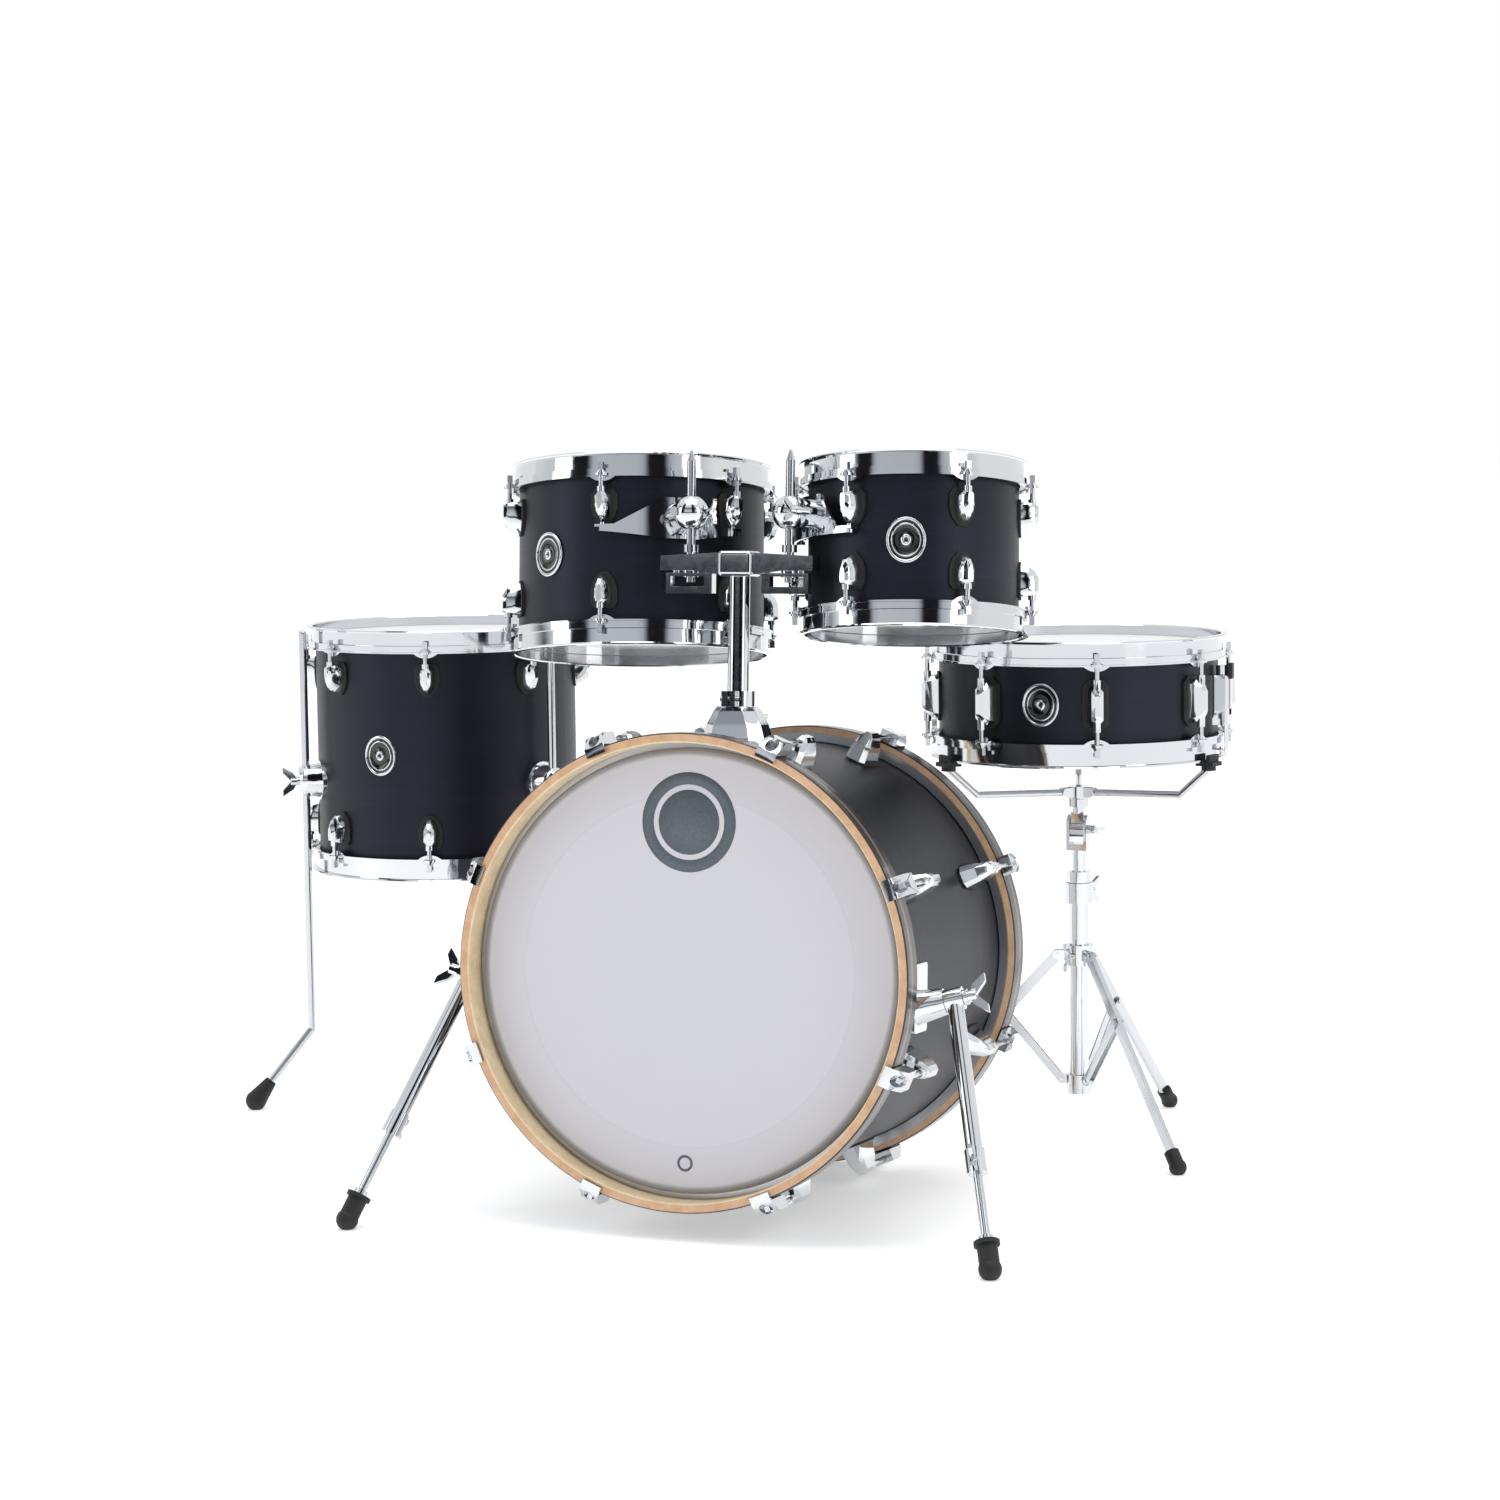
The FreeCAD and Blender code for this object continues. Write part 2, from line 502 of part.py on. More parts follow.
def build_spurs():
    parts["spur_brackets"] = group(spur_bracket(-1) + spur_bracket(1))
    for name, side in (("left", -1), ("right", 1)):
        parts["spur_tube_" + name] = group(spur_tube(side))
        parts["spur_rod_" + name] = group(spur_rod(side))


# ---------------------------------------------------------------- tom holder
lock_z = BASS_R + BASE_TALL


def holder_base():
    """Cast foot on the shell with its rubber gasket, and the wing bolt that grips the post."""
    drum = cyl(BASS_R, BASS_LEN, V(0, half_bass, 0), V(0, -1, 0))
    skin = cyl(BASS_R + 2.5, BASS_LEN, V(0, half_bass, 0), V(0, -1, 0))
    low, high = BASS_R - 12.0, BASS_R + BASE_TALL
    wires = []
    for z, wide, deep in ((low, BASE_WIDE, BASE_DEEP), (BASS_R + 10.0, BASE_WIDE, BASE_DEEP),
                          (BASS_R + 26.0, 68.0, 54.0), (high - 5.0, 52.0, 48.0), (high, 44.0, 42.0)):
        outline = oct_outline(wide / 2, deep / 2, deep / 4)
        corners = [V(a, POST_Y + b, z) for a, b in outline]
        wires.append(Part.makePolygon(corners + corners[:1]))
    body = Part.makeLoft(wires, True, True)
    bore = cyl(POST_R + POST_FIT, 2 * BASS_R, V(0, POST_Y, 0))
    pad = prism(oct_outline(BASE_WIDE / 2 + 2, BASE_DEEP / 2 + 2, BASE_DEEP / 5), V(0, POST_Y, low),
                V(0, 0, 40.0), V(1, 0, 0), V(0, 1, 0))
    pad = pad.common(skin).cut(drum).cut(cyl(POST_R + 1.5, 2 * BASS_R, V(0, POST_Y, 0)))
    body = body.cut(skin).cut(bore)
    screw = wing(V(0, POST_Y + 20.0, high - 12.0), V(0, 1, 0), V(1, 0, 0), 22.0, 12.0, 6.0, 6.0, 12.0)
    screw = screw.cut(body)
    return [body, pad, screw]


def memory_lock(z, at, radius, outer, tall, fit):
    """Split clamp ring with its two ears and cross bolt, gripping a round tube."""
    clamp = cyl(outer, tall, at + V(0, 0, z))
    ears = block(16.0, 18.0, tall, at + V(0, -outer - 3.0, z + tall / 2))
    clamp = join([clamp, ears]).cut(cyl(radius + fit, tall, at + V(0, 0, z)))
    clamp = clamp.cut(block(2.0, 2 * outer, tall, at + V(0, -outer - 2.0, z + tall / 2)))
    bolt = cyl(3.0, 24.0, at + V(-12.0, -outer - 6.0, z + tall / 2), V(1, 0, 0))
    return [clamp.cut(bolt), bolt]


def holder_post():
    """Chrome post with the memory lock that rests on the base."""
    at = V(0, POST_Y, 0)
    post = tube(POST_R, POST_R - 2.0, HEAD_Z + 18.0 - BASS_R + POST_DOWN, at + V(0, 0, BASS_R - POST_DOWN))
    return [post] + memory_lock(lock_z + 0.3, at, POST_R, LOCK_R, LOCK_TALL, 0.0)


def holder_head():
    """Cross bar: a middle boss on the post and an arm each way, bored for the two rods."""
    mid = HEAD_Z + HEAD_TALL_MID / 2
    top = HEAD_Z + HEAD_TALL_MID
    boss = rounded(block(42.0, HEAD_DEEP + 6.0, HEAD_TALL_MID, V(0, POST_Y, mid)), 5.0)
    arm_low = top - 6.0 - HEAD_TALL_END
    outline = [(-HEAD_HALF, arm_low), (-58.0, arm_low), (-20.0, HEAD_Z + 2.0),
               (20.0, HEAD_Z + 2.0), (58.0, arm_low), (HEAD_HALF, arm_low),
               (HEAD_HALF, top - 6.0), (20.0, top - 2.0), (-20.0, top - 2.0), (-HEAD_HALF, top - 6.0)]
    bar = prism(outline, V(0, POST_Y + 13.0, 0), V(0, -26.0, 0), V(1, 0, 0), V(0, 0, 1))
    body = join([boss, bar])
    body = body.cut(cyl(POST_R + POST_FIT, 18.0, V(0, POST_Y, HEAD_Z)))
    pieces = []
    for side in (-1, 1):
        at = V(side * ARM_X, POST_Y, 0)
        body = body.cut(cyl(ARM_ROD_R + ARM_FIT, 60.0, at + V(0, 0, HEAD_Z - 10.0)))
        x = side * (ARM_X + 16.0)
        loop = block(58.0, 14.0, 24.0, V(side * (ARM_X - 2.0), POST_Y - 3.0, arm_low - 15.0))
        gap = block(42.0, 30.0, 12.0, V(side * (ARM_X + 0.0), POST_Y - 3.0, arm_low - 13.0))
        loop = loop.cut(gap).cut(cyl(ARM_ROD_R + 1.5, 60.0, at + V(0, 0, arm_low - 40.0)))
        stem = cyl(5.0, 4.0, V(x, POST_Y - 3.0, arm_low - 3.5), V(0, 0, 1))
        pieces.append(join([loop, stem]).cut(body))
        pieces.append(tube(9.5, ARM_ROD_R + ARM_FIT, 8.0, at + V(0, 0, arm_low - 8.0)).cut(loop).cut(body))
    return [body] + pieces


def arm_frame(side):
    """Ball centre in kit coordinates, and the direction of the arm rod."""
    ball = bass_frame.multVec(V(side * ARM_X, POST_Y, BALL_Z))
    up = bass_frame.Rotation.multVec(V(0, 0, 1))
    return ball, up


def arm_rod(side):
    """Upright rod with its pointed top, the tilt ball and a stop collar on the head."""
    at = V(side * ARM_X, POST_Y, 0)
    low = HEAD_Z + HEAD_TALL_MID - 6.0 - HEAD_TALL_END - 14.0
    high = HEAD_Z + ARM_UP
    stem = cyl(ARM_ROD_R, high - low, at + V(0, 0, low))
    tip = Part.makeCone(ARM_ROD_R, 1.5, ARM_TIP, at + V(0, 0, high))
    ball = Part.makeSphere(BALL_R, at + V(0, 0, BALL_Z))
    collar = cyl(9.0, 9.0, at + V(0, 0, HEAD_Z + HEAD_TALL_MID - 2.0 + 0.3))
    return join([stem, tip, ball, collar])


def tom_bracket(place, radius, length, side, lug_az):
    """Suspension band bolted under two lugs, and the split ball clamp on its neck."""
    ball, up = arm_frame(side)
    centre = place.inverse().multVec(ball)
    radial = V(centre.x, centre.y, 0)
    reach = radial.Length
    out = radial.normalize()
    across = V(0, 0, 1).cross(out)
    up_local = place.Rotation.inverted().multVec(up)
    mid_az = math.degrees(math.atan2(out.x, -out.y))
    tab_z = length / 2 - LUG_FROM_EDGE - LUG_TALL / 2 - 6.0
    r_in, r_out = radius + BAND_OUT, radius + BAND_OUT + BAND_THICK
    spread = [math.radians(az - mid_az) for az in lug_az]
    ends = [r_out * math.sin(min(abs(a), math.radians(80))) * (1 if a > 0 else -1) for a in spread]
    left, right = min(ends) - 1.0, max(ends) + 1.0
    z = centre.z
    low, high, beside = tab_z - 5.0, tab_z + 3.0, LUG_WIDE / 2 + 4.0
    outline = [(left, low), (-20, z - 27), (20, z - 27), (right, low), (right, high), (right - beside, high),
               (22, z + 22), (-22, z + 22), (left + beside, high), (left, high)]
    band = tube(r_out, r_in, 160.0, V(0, 0, z - 80.0))
    bow = prism(outline, out * (radius * 0.2), out * radius, across, V(0, 0, 1))
    band = band.common(bow)
    tabs = []
    screws = []
    for az in lug_az:
        tab = block(15.0, BAND_THICK + 12.0, 3.0, V(0, -(r_out - (BAND_THICK + 12.0) / 2), tab_z + 1.5))
        tabs.append(turned(tab, az))
        screw = join([cyl(2.8, 9.0, V(0, -(radius + 9.0), tab_z - 3.0)),
                      cyl(5.0, 4.0, V(0, -(radius + 9.0), tab_z - 5.0))])
        screws.append(turned(screw, az))
    boss_start = out * (r_in + 1.0) + V(0, 0, z)
    neck = cyl(CLAMP_NECK_R, reach - r_in - 1.0, boss_start, out)
    shell_ball = Part.makeSphere(CLAMP_R, centre)
    socket = Part.makeSphere(BALL_R + BALL_FIT, centre)
    slot = cyl(CLAMP_SLOT_R, 4 * CLAMP_R, centre - up_local * (2 * CLAMP_R), up_local)
    split = block(200.0, CLAMP_SPLIT, 200.0, V(0, -reach, z))
    split = turned(split, mid_az)
    far = turned(block(200.0, 100.0, 200.0, V(0, -reach - 50.0 - CLAMP_SPLIT / 2, z)), mid_az)
    back = join([band] + tabs + [neck, shell_ball]).cut(split).cut(far).cut(socket).cut(slot)
    cap = shell_ball.common(far).cut(socket).cut(slot)
    holes = [turned(cyl(2.9, 30.0, V(0, -(radius + 9.0), tab_z - 10.0)), az) for az in lug_az]
    for hole in holes:
        back = back.cut(hole)
    ear = []
    for height in (-1, 1):
        spot = centre + across * (height * (CLAMP_R + 2.0))
        ear.append(cyl(4.5, 11.0 + CLAMP_SPLIT / 2, spot - out * 11.0, out))
    back = join([back] + ear).cut(socket)
    bolts = []
    for height in (-1, 1):
        spot = centre + across * (height * (CLAMP_R + 2.0))
        bolts.append(cyl(5.5, 6.0, spot + out * (CLAMP_SPLIT / 2), out))
    cap = join([cap] + [b.cut(socket) for b in bolts])
    wing_at = centre + across * (CLAMP_R + 2.0) + out * (6.0 + CLAMP_SPLIT / 2)
    knob = wing(wing_at, out, V(0, 0, 1), 15.0, 7.0, 4.5, 4.5, 7.0).cut(cap)
    shapes = [back, cap, knob] + screws
    return group([placed(shape, place) for shape in shapes])


def build_holder():
    parts["holder_base"] = placed(group(holder_base()), bass_frame)
    parts["holder_post"] = placed(group(holder_post()), bass_frame)
    parts["holder_head"] = placed(group(holder_head()), bass_frame)
    parts["arm_rod_left"] = placed(arm_rod(-1), bass_frame)
    parts["arm_rod_right"] = placed(arm_rod(1), bass_frame)


# ---------------------------------------------------------------- floor tom legs
def leg_bracket():
    """Cast block on the shell, bored for its leg, with a wing screw; built at -Y."""
    z = LEG_BRACKET_Z - FLOOR_AT.z
    axis = FLOOR_R + LEG_OUT
    pad = cyl(LEG_BRACKET_TALL / 2, 10.0, V(0, -FLOOR_R + 6.0, z), V(0, -1, 0))
    body = Part.makeCone(LEG_BOSS_R, LEG_BOSS_TIP_R, LEG_OUT + 6.0, V(0, -FLOOR_R, z), V(0, -1, 0))
    cap = Part.makeCone(LEG_BOSS_TIP_R, LEG_BOSS_TIP_R - 5.0, 5.0, V(0, -axis - 6.0, z), V(0, -1, 0))
    casting = join([pad, body, cap])
    casting = casting.cut(cyl(FLOOR_R, 4 * LEG_BRACKET_TALL, V(0, 0, z - 2 * LEG_BRACKET_TALL)))
    casting = casting.cut(cyl(LEG_R + LEG_FIT, 2 * LEG_BRACKET_TALL, V(0, -axis, z - LEG_BRACKET_TALL)))
    screw = wing(V(0, -axis - 10.0, z), V(0, -1, 0), V(0, 0, 1), 20.0, 11.0, 5.0, 5.5, 11.0)
    return [casting, screw.cut(casting)]


def floor_leg():
    """Steel leg bent outwards below its knee, on a rubber foot; built at -Y, drum frame."""
    floor_z = -FLOOR_AT.z
    axis = FLOOR_R + LEG_OUT
    knee = V(0, -axis, floor_z + LEG_KNEE)
    sole = V(0, -FOOT_RADIUS, floor_z + LEG_FOOT_R - SOLE_FLAT)
    out = (sole - knee).normalize()
    upper = rod(LEG_R, knee, V(0, -axis, LEG_TOP - FLOOR_AT.z))
    foot_start = sole - out * LEG_FOOT_TALL
    lower = rod(LEG_R, knee, foot_start)
    steel = join([upper, lower, Part.makeSphere(LEG_R, knee),
                  Part.makeSphere(LEG_R, V(0, -axis, LEG_TOP - FLOOR_AT.z))])
    rubber = join([Part.makeCone(LEG_R + 2.5, LEG_FOOT_R, LEG_FOOT_TALL, foot_start, out),
                   Part.makeSphere(LEG_FOOT_R, sole)])
    return [steel, flat_sole(rubber, sole, floor_z)]


def build_floor_tom():
    place = lean(FLOOR_AT)
    build_drum("floor_tom", FLOOR_R, FLOOR_LEN, FLOOR_FIRST, BIG_LUGS, place)
    brackets = [turned(shape, az) for az in LEG_AZ for shape in leg_bracket()]
    parts["floor_tom_leg_brackets"] = placed(group(brackets), place)
    for number, az in enumerate(LEG_AZ, 1):
        parts["floor_tom_leg_%d" % number] = placed(group([turned(s, az) for s in floor_leg()]), place)


# ---------------------------------------------------------------- snare fittings
def strainer():
    """Throw-off housing on the shell, and the butt plate opposite it; snare drum frame."""
    front = SNARE_R + STRAINER_DEEP
    low = STRAINER_LOW
    body = block(STRAINER_WIDE, STRAINER_DEEP + 8.0, STRAINER_TALL,
                 V(0, -(SNARE_R + STRAINER_DEEP / 2 - 4.0), low + STRAINER_TALL / 2))
    body = rounded(body, 3.0, lambda e: abs(e.BoundBox.YLength) < 1 and e.CenterOfMass.y < -SNARE_R - 5)
    slot = block(12.0, 20.0, 50.0, V(0, -front, low + STRAINER_TALL - 25.0))
    body = body.cut(slot).cut(cyl(SNARE_R, 200.0, V(0, 0, -100.0)))
    pin = cyl(2.5, 12.0, V(-6.0, -(front - 3.5), LEVER_Z), V(1, 0, 0))
    knob = cyl(7.0, 12.0, V(0, -(SNARE_R + 9.0), low + STRAINER_TALL))
    butt = block(28.0, 18.0, 40.0, V(0, -(SNARE_R + 5.0), low + 22.0))
    butt = butt.cut(cyl(SNARE_R, 200.0, V(0, 0, -100.0)))
    return ([turned(s, STRAINER_AZ) for s in (body, pin, knob)], turned(butt, STRAINER_AZ + 180.0))


def throw_lever():
    """Lever that drops the snare wires: a steel blade with a moulded tip; built at -Y."""
    front = SNARE_R + STRAINER_DEEP
    hub_y = -(front - 3.5)
    hub = cyl(5.0, 10.0, V(-5.0, hub_y, LEVER_Z), V(1, 0, 0))
    blade = block(10.0, 4.0, 34.0, V(0, hub_y - 3.0, LEVER_Z + 17.0))
    body = join([hub, blade]).cut(cyl(2.56, 12.0, V(-6.0, hub_y, LEVER_Z), V(1, 0, 0)))
    tip = rounded(block(12.0, 7.0, 20.0, V(0, hub_y - 4.0, LEVER_Z + 44.0)), 1.5)
    return group([turned(body, STRAINER_AZ), turned(tip, STRAINER_AZ)])


def snare_wires():
    """Wires under the lower head, with their end plates, and the strap to each fitting."""
    z = -SNARE_LEN / 2 - FILM - WIRE_GAP
    wide = WIRE_PITCH * (WIRES - 1) + 4.0
    shapes = []
    for k in range(WIRES):
        y = (k - (WIRES - 1) / 2) * WIRE_PITCH
        shapes.append(cyl(WIRE_R, 2 * WIRE_HALF_LEN, V(-WIRE_HALF_LEN, y, z - WIRE_R), V(1, 0, 0)))
    for side in (-1, 1):
        plate = block(14.0, wide, 1.2, V(side * WIRE_HALF_LEN, 0, z - 2 * WIRE_R - 0.6))
        reach = SNARE_R + ROD_OUT - WIRE_HALF_LEN
        strap = block(reach, STRAP_WIDE, 0.8, V(side * (WIRE_HALF_LEN + reach / 2), 0, z - 2 * WIRE_R - 0.6))
        rise = STRAINER_LOW - 0.3 - (z - 2 * WIRE_R - 1.0)
        upright = block(0.8, STRAP_WIDE, rise,
                        V(side * (SNARE_R + ROD_OUT - 0.4), 0, STRAINER_LOW - 0.3 - rise / 2))
        shapes.append(join([plate, strap, upright]))
    return group(shapes)


def build_snare():
    place = lean(SNARE_AT)
    build_drum("snare", SNARE_R, SNARE_LEN, SNARE_FIRST, BIG_LUGS, place, snare=True)
    edge = -SNARE_LEN / 2
    gate_tall = 6.0 + WIRE_DROP
    gate = block(2 * SNARE_R + 80.0, STRAP_WIDE + 4.0, gate_tall, V(0, 0, edge - 1.0 - gate_tall / 2))
    parts["snare_hoops"] = parts["snare_hoops"].cut(placed(gate, place))
    housing, butt = strainer()
    parts["snare_strainer"] = placed(group(housing + [butt]), place)
    parts["snare_throw_lever"] = placed(throw_lever(), place)
    parts["snare_wires"] = placed(snare_wires(), place)


# ---------------------------------------------------------------- snare stand
stand_at = V(SNARE_AT.x, SNARE_AT.y, 0)
leg_top = V(0, -PIVOT_OUT, COLLAR_Z)
leg_foot = V(0, -TRIPOD_RADIUS, TRIPOD_FOOT_R - SOLE_FLAT)
leg_dir = (leg_foot - leg_top).normalize()
brace_top = leg_top + leg_dir * BRACE_ALONG
brace_low = V(0, -BRACE_OUT, BRACE_Z)


def strip(start, end, x, thick, wide):
    """Flat bar with round ends between two points of the plane x = 0; built at -Y."""
    along = (end - start).normalize()
    side = V(1, 0, 0)
    up = along.cross(side)
    length = (end - start).Length
    bar = prism([(0, -wide / 2), (length, -wide / 2), (length, wide / 2), (0, wide / 2)],
                start + side * (x - thick / 2), side * thick, along, up)
    caps = [cyl(wide / 2, thick, point + side * (x - thick / 2), side) for point in (start, end)]
    return join([bar] + caps)


def stand_leg():
    """Tripod leg on its collar pivot, with a rubber foot; built at -Y."""
    sole_start = leg_foot - leg_dir * 22.0
    bar = strip(leg_top, sole_start, 0, LEG_BAR_THICK, STRIP_WIDE).cut(
        cyl(2.56, 40.0, leg_top - V(20.0, 0, 0), V(1, 0, 0)))
    rubber = join([Part.makeSphere(TRIPOD_FOOT_R, leg_foot), rod(TRIPOD_FOOT_R - 1.5, sole_start, leg_foot)])
    return [bar.cut(rubber), flat_sole(rubber, leg_foot, 0.0)]


def stand_brace():
    """Pair of flat strips from the tube's base to the leg, one each side of it; at -Y."""
    offset = LEG_BAR_THICK / 2 + SIDE_GAP + STRIP_THICK / 2
    strips = [strip(brace_low, brace_top, side * offset, STRIP_THICK, STRIP_WIDE - 4.0) for side in (-1, 1)]
    hole = cyl(2.56, 40.0, brace_low - V(20.0, 0, 0), V(1, 0, 0))
    heads = [cyl(4.0, 2.0, brace_top + V(side * (offset + STRIP_THICK / 2) - (2.0 if side < 0 else 0.0), 0, 0),
                 V(1, 0, 0)) for side in (-1, 1)]
    return [join([strips[0].cut(hole), heads[0]]), join([strips[1].cut(hole), heads[1]])]


def pivot_lugs(at, half_gap, thick, hub_r, pin_reach):
    """Pair of ears and their pin standing out of a round hub; built at -Y."""
    shapes = []
    for side in (-1, 1):
        x = side * (half_gap + thick / 2)
        ear = block(thick, -at.y - hub_r + 3.0, 12.0, V(x, (at.y - hub_r + 3.0) / 2, at.z))
        shapes.append(ear.fuse(cyl(6.0, thick, V(x - thick / 2, at.y, at.z), V(1, 0, 0))))
    shapes.append(cyl(2.5, 2 * pin_reach, V(-pin_reach, at.y, at.z), V(1, 0, 0)))
    return shapes


def stand_collar():
    """Sliding tripod collar with the ears that carry the legs, and its wing screw."""
    hub = cyl(COLLAR_R, COLLAR_TALL, V(0, 0, COLLAR_Z - COLLAR_TALL / 2))
    ears = []
    for az in TRIPOD_AZ:
        ears += [turned(s, az) for s in pivot_lugs(leg_top, LEG_BAR_THICK / 2 + SIDE_GAP, 3.0, COLLAR_R, 7.5)]
    body = join([hub] + ears).cut(cyl(STAND_TUBE_R + STAND_FIT, 60.0, V(0, 0, COLLAR_Z - 30.0)))
    away = azimuth(1, TRIPOD_AZ[0] + 60.0)
    screw = wing(away * (COLLAR_R - 1.5) + V(0, 0, COLLAR_Z), away, V(0, 0, 1), 18.0, 9.0, 5.0, 5.0, 9.0)
    return [body, screw.cut(body)]


def stand_tube():
    """Lower tube with the base hub for the braces and the height clamp at its top."""
    pipe = tube(STAND_TUBE_R, UPPER_R + STAND_FIT, STAND_TUBE_TOP - STAND_BASE_Z, V(0, 0, STAND_BASE_Z))
    hub = tube(STAND_TUBE_R + 4.0, UPPER_R + STAND_FIT, 24.0, V(0, 0, STAND_BASE_Z))
    ears = []
    offset = LEG_BAR_THICK / 2 + SIDE_GAP
    for az in TRIPOD_AZ:
        at = brace_low
        tongue = block(2 * offset - 2 * SIDE_GAP, -at.y - STAND_TUBE_R - 1.0, 12.0,
                       V(0, (at.y - STAND_TUBE_R - 1.0) / 2, at.z))
        tongue = tongue.fuse(cyl(6.0, 2 * offset - 2 * SIDE_GAP, V(-offset + SIDE_GAP, at.y, at.z), V(1, 0, 0)))
        pin = cyl(2.5, 13.0, V(-6.5, at.y, at.z), V(1, 0, 0))
        ears += [turned(tongue, az), turned(pin, az)]
    base = join([pipe, hub] + ears).cut(cyl(UPPER_R + STAND_FIT, 400.0, V(0, 0, 0)))
    clamp = tube(STAND_TUBE_R + 6.0, STAND_TUBE_R, 26.0, V(0, 0, STAND_TUBE_TOP - 24.0))
    away = azimuth(1, 150.0)
    screw = wing(away * (STAND_TUBE_R + 4.5) + V(0, 0, STAND_TUBE_TOP - 11.0), away, V(0, 0, 1),
                 18.0, 9.0, 5.0, 5.0, 9.0)
    return [base, clamp, screw.cut(clamp)]


def stand_upper():
    """Upper tube with its memory collar and the fork that carries the tilter."""
    pipe = cyl(UPPER_R, TILTER_Z - BRIDGE_DOWN - UPPER_BOTTOM, V(0, 0, UPPER_BOTTOM))
    lock = tube(STAND_TUBE_R + 3.0, UPPER_R, 14.0, V(0, 0, STAND_TUBE_TOP + 2.0 + SIDE_GAP))
    fork = []
    for side in (-1, 1):
        fork.append(block(4.0, 24.0, 34.0, V(side * 11.0, 0, TILTER_Z - 5.0)))
        fork.append(cyl(12.0, 4.0, V(side * 11.0 - 2.0, 0, TILTER_Z + 12.0 - 5.0), V(1, 0, 0)))
    bridge = block(26.0, 24.0, 8.0, V(0, 0, TILTER_Z - BRIDGE_DOWN))
    pin = cyl(4.0, 26.0, V(-13.0, 0, TILTER_Z), V(1, 0, 0))
    body = join([pipe, bridge, pin] + fork)
    knob = wing(V(13.0, 0, TILTER_Z), V(1, 0, 0), V(0, 1, 0), 18.0, 9.0, 5.0, 5.5, 9.0)
    return [body, lock, knob]


def stand_basket():
    """Tilter tongue between the fork's cheeks, the basket stem and its arm hub."""
    bore = cyl(4.06, 20.0, V(-10, 0, TILTER_Z), V(1, 0, 0))
    tongue = cyl(10.0, 17.4, V(-8.7, 0, TILTER_Z), V(1, 0, 0))
    neck = block(16.0, 14.0, 14.0, V(0, 0, TILTER_Z + 15.5))
    stem = cyl(7.5, BASKET_Z - TILTER_Z - 20.0, V(0, 0, TILTER_Z + 20.0))
    hub = cyl(BASKET_HUB_R - 6.5, BASKET_HUB_TALL / 2, V(0, 0, BASKET_Z - BASKET_HUB_TALL / 4))
    ears = []
    pivot = V(0, -BASKET_HUB_R, BASKET_Z)
    for az in BASKET_AZ:
        pair = pivot_lugs(pivot, BASKET_ARM_R + SIDE_GAP, 2.5, BASKET_HUB_R - 7.0, 7.3)
        ears += [turned(s, az) for s in pair]
    knob = tube(13.0, 7.5, 10.0, V(0, 0, BASKET_Z - BASKET_HUB_TALL / 4 - 11.0))
    return [join([tongue.fuse(neck).cut(bore), stem, hub] + ears), knob]


def basket_arm():
    """Basket arm rising from its hub pivot to the rubber grip under the hoop; at -Y."""
    rest = SNARE_AT.z - SNARE_LEN / 2 - HOOP_ABOVE - SNARE_REST_GAP
    hoop_r = SNARE_R + RIM_OUT
    pivot = V(0, -BASKET_HUB_R, BASKET_Z)
    elbow = V(0, -(hoop_r - 42.0), BASKET_Z + 4.0)
    end = V(0, -(hoop_r - 2.0), rest - GRIP_THICK - 4.0)
    eye = cyl(6.0, 2 * BASKET_ARM_R, pivot - V(BASKET_ARM_R, 0, 0), V(1, 0, 0))
    arm = join([eye, rod(BASKET_ARM_R, pivot, elbow), Part.makeSphere(BASKET_ARM_R, elbow),
                rod(BASKET_ARM_R, elbow, end), Part.makeSphere(BASKET_ARM_R, end)])
    arm = arm.cut(cyl(2.56, 20.0, pivot - V(10.0, 0, 0), V(1, 0, 0)))
    shoe = block(GRIP_WIDE, 24.0, GRIP_THICK, V(0, -(hoop_r - 2.0), rest - GRIP_THICK / 2))
    lip = tube(hoop_r + 1.0 + 5.0, hoop_r + 1.0, GRIP_THICK + GRIP_LIP, V(0, 0, rest - GRIP_THICK))
    lip = lip.common(block(GRIP_WIDE, 60.0, 60.0, V(0, -hoop_r, rest)))
    rubber = join([shoe, lip, cyl(9.0, 8.0, end - V(0, 0, 2.0), V(0, 0, 1))])
    clear = tube(hoop_r + 1.0, 1.0, 40.0, V(0, 0, rest))
    rubber = rubber.cut(clear).cut(arm)
    return [arm, rubber]


def build_stand():
    place = Placement(stand_at, Rotation())
    parts["stand_tube"] = placed(group(stand_tube()), place)
    parts["stand_collar"] = placed(group(stand_collar()), place)
    for number, az in enumerate(TRIPOD_AZ, 1):
        parts["stand_leg_%d" % number] = placed(group([turned(s, az) for s in stand_leg()]), place)
        parts["stand_brace_%d" % number] = placed(group([turned(s, az) for s in stand_brace()]), place)
    parts["stand_upper"] = placed(group(stand_upper()), place)
    parts["stand_basket"] = placed(group(stand_basket()), place)
    for number, az in enumerate(BASKET_AZ, 1):
        parts["stand_arm_%d" % number] = placed(group([turned(s, az) for s in basket_arm()]), place)


# ---------------------------------------------------------------- the whole kit
tom12_place = lean(TOM12_AT, TOM12_LEAN)
tom10_place = lean(TOM10_AT, TOM10_LEAN)
build_bass()
build_spurs()
build_holder()
build_drum("tom_left", TOM12_R, TOM12_LEN, TOM12_FIRST, RACK_LUGS, tom12_place)
build_drum("tom_right", TOM10_R, TOM10_LEN, TOM10_FIRST, RACK_LUGS, tom10_place)
step = 360.0 / RACK_LUGS
parts["tom_left_bracket"] = tom_bracket(tom12_place, TOM12_R, TOM12_LEN, -1, (TOM12_FIRST, TOM12_FIRST + step))
parts["tom_right_bracket"] = tom_bracket(tom10_place, TOM10_R, TOM10_LEN, 1, (TOM10_FIRST - step, TOM10_FIRST))
build_floor_tom()
build_snare()
build_stand()

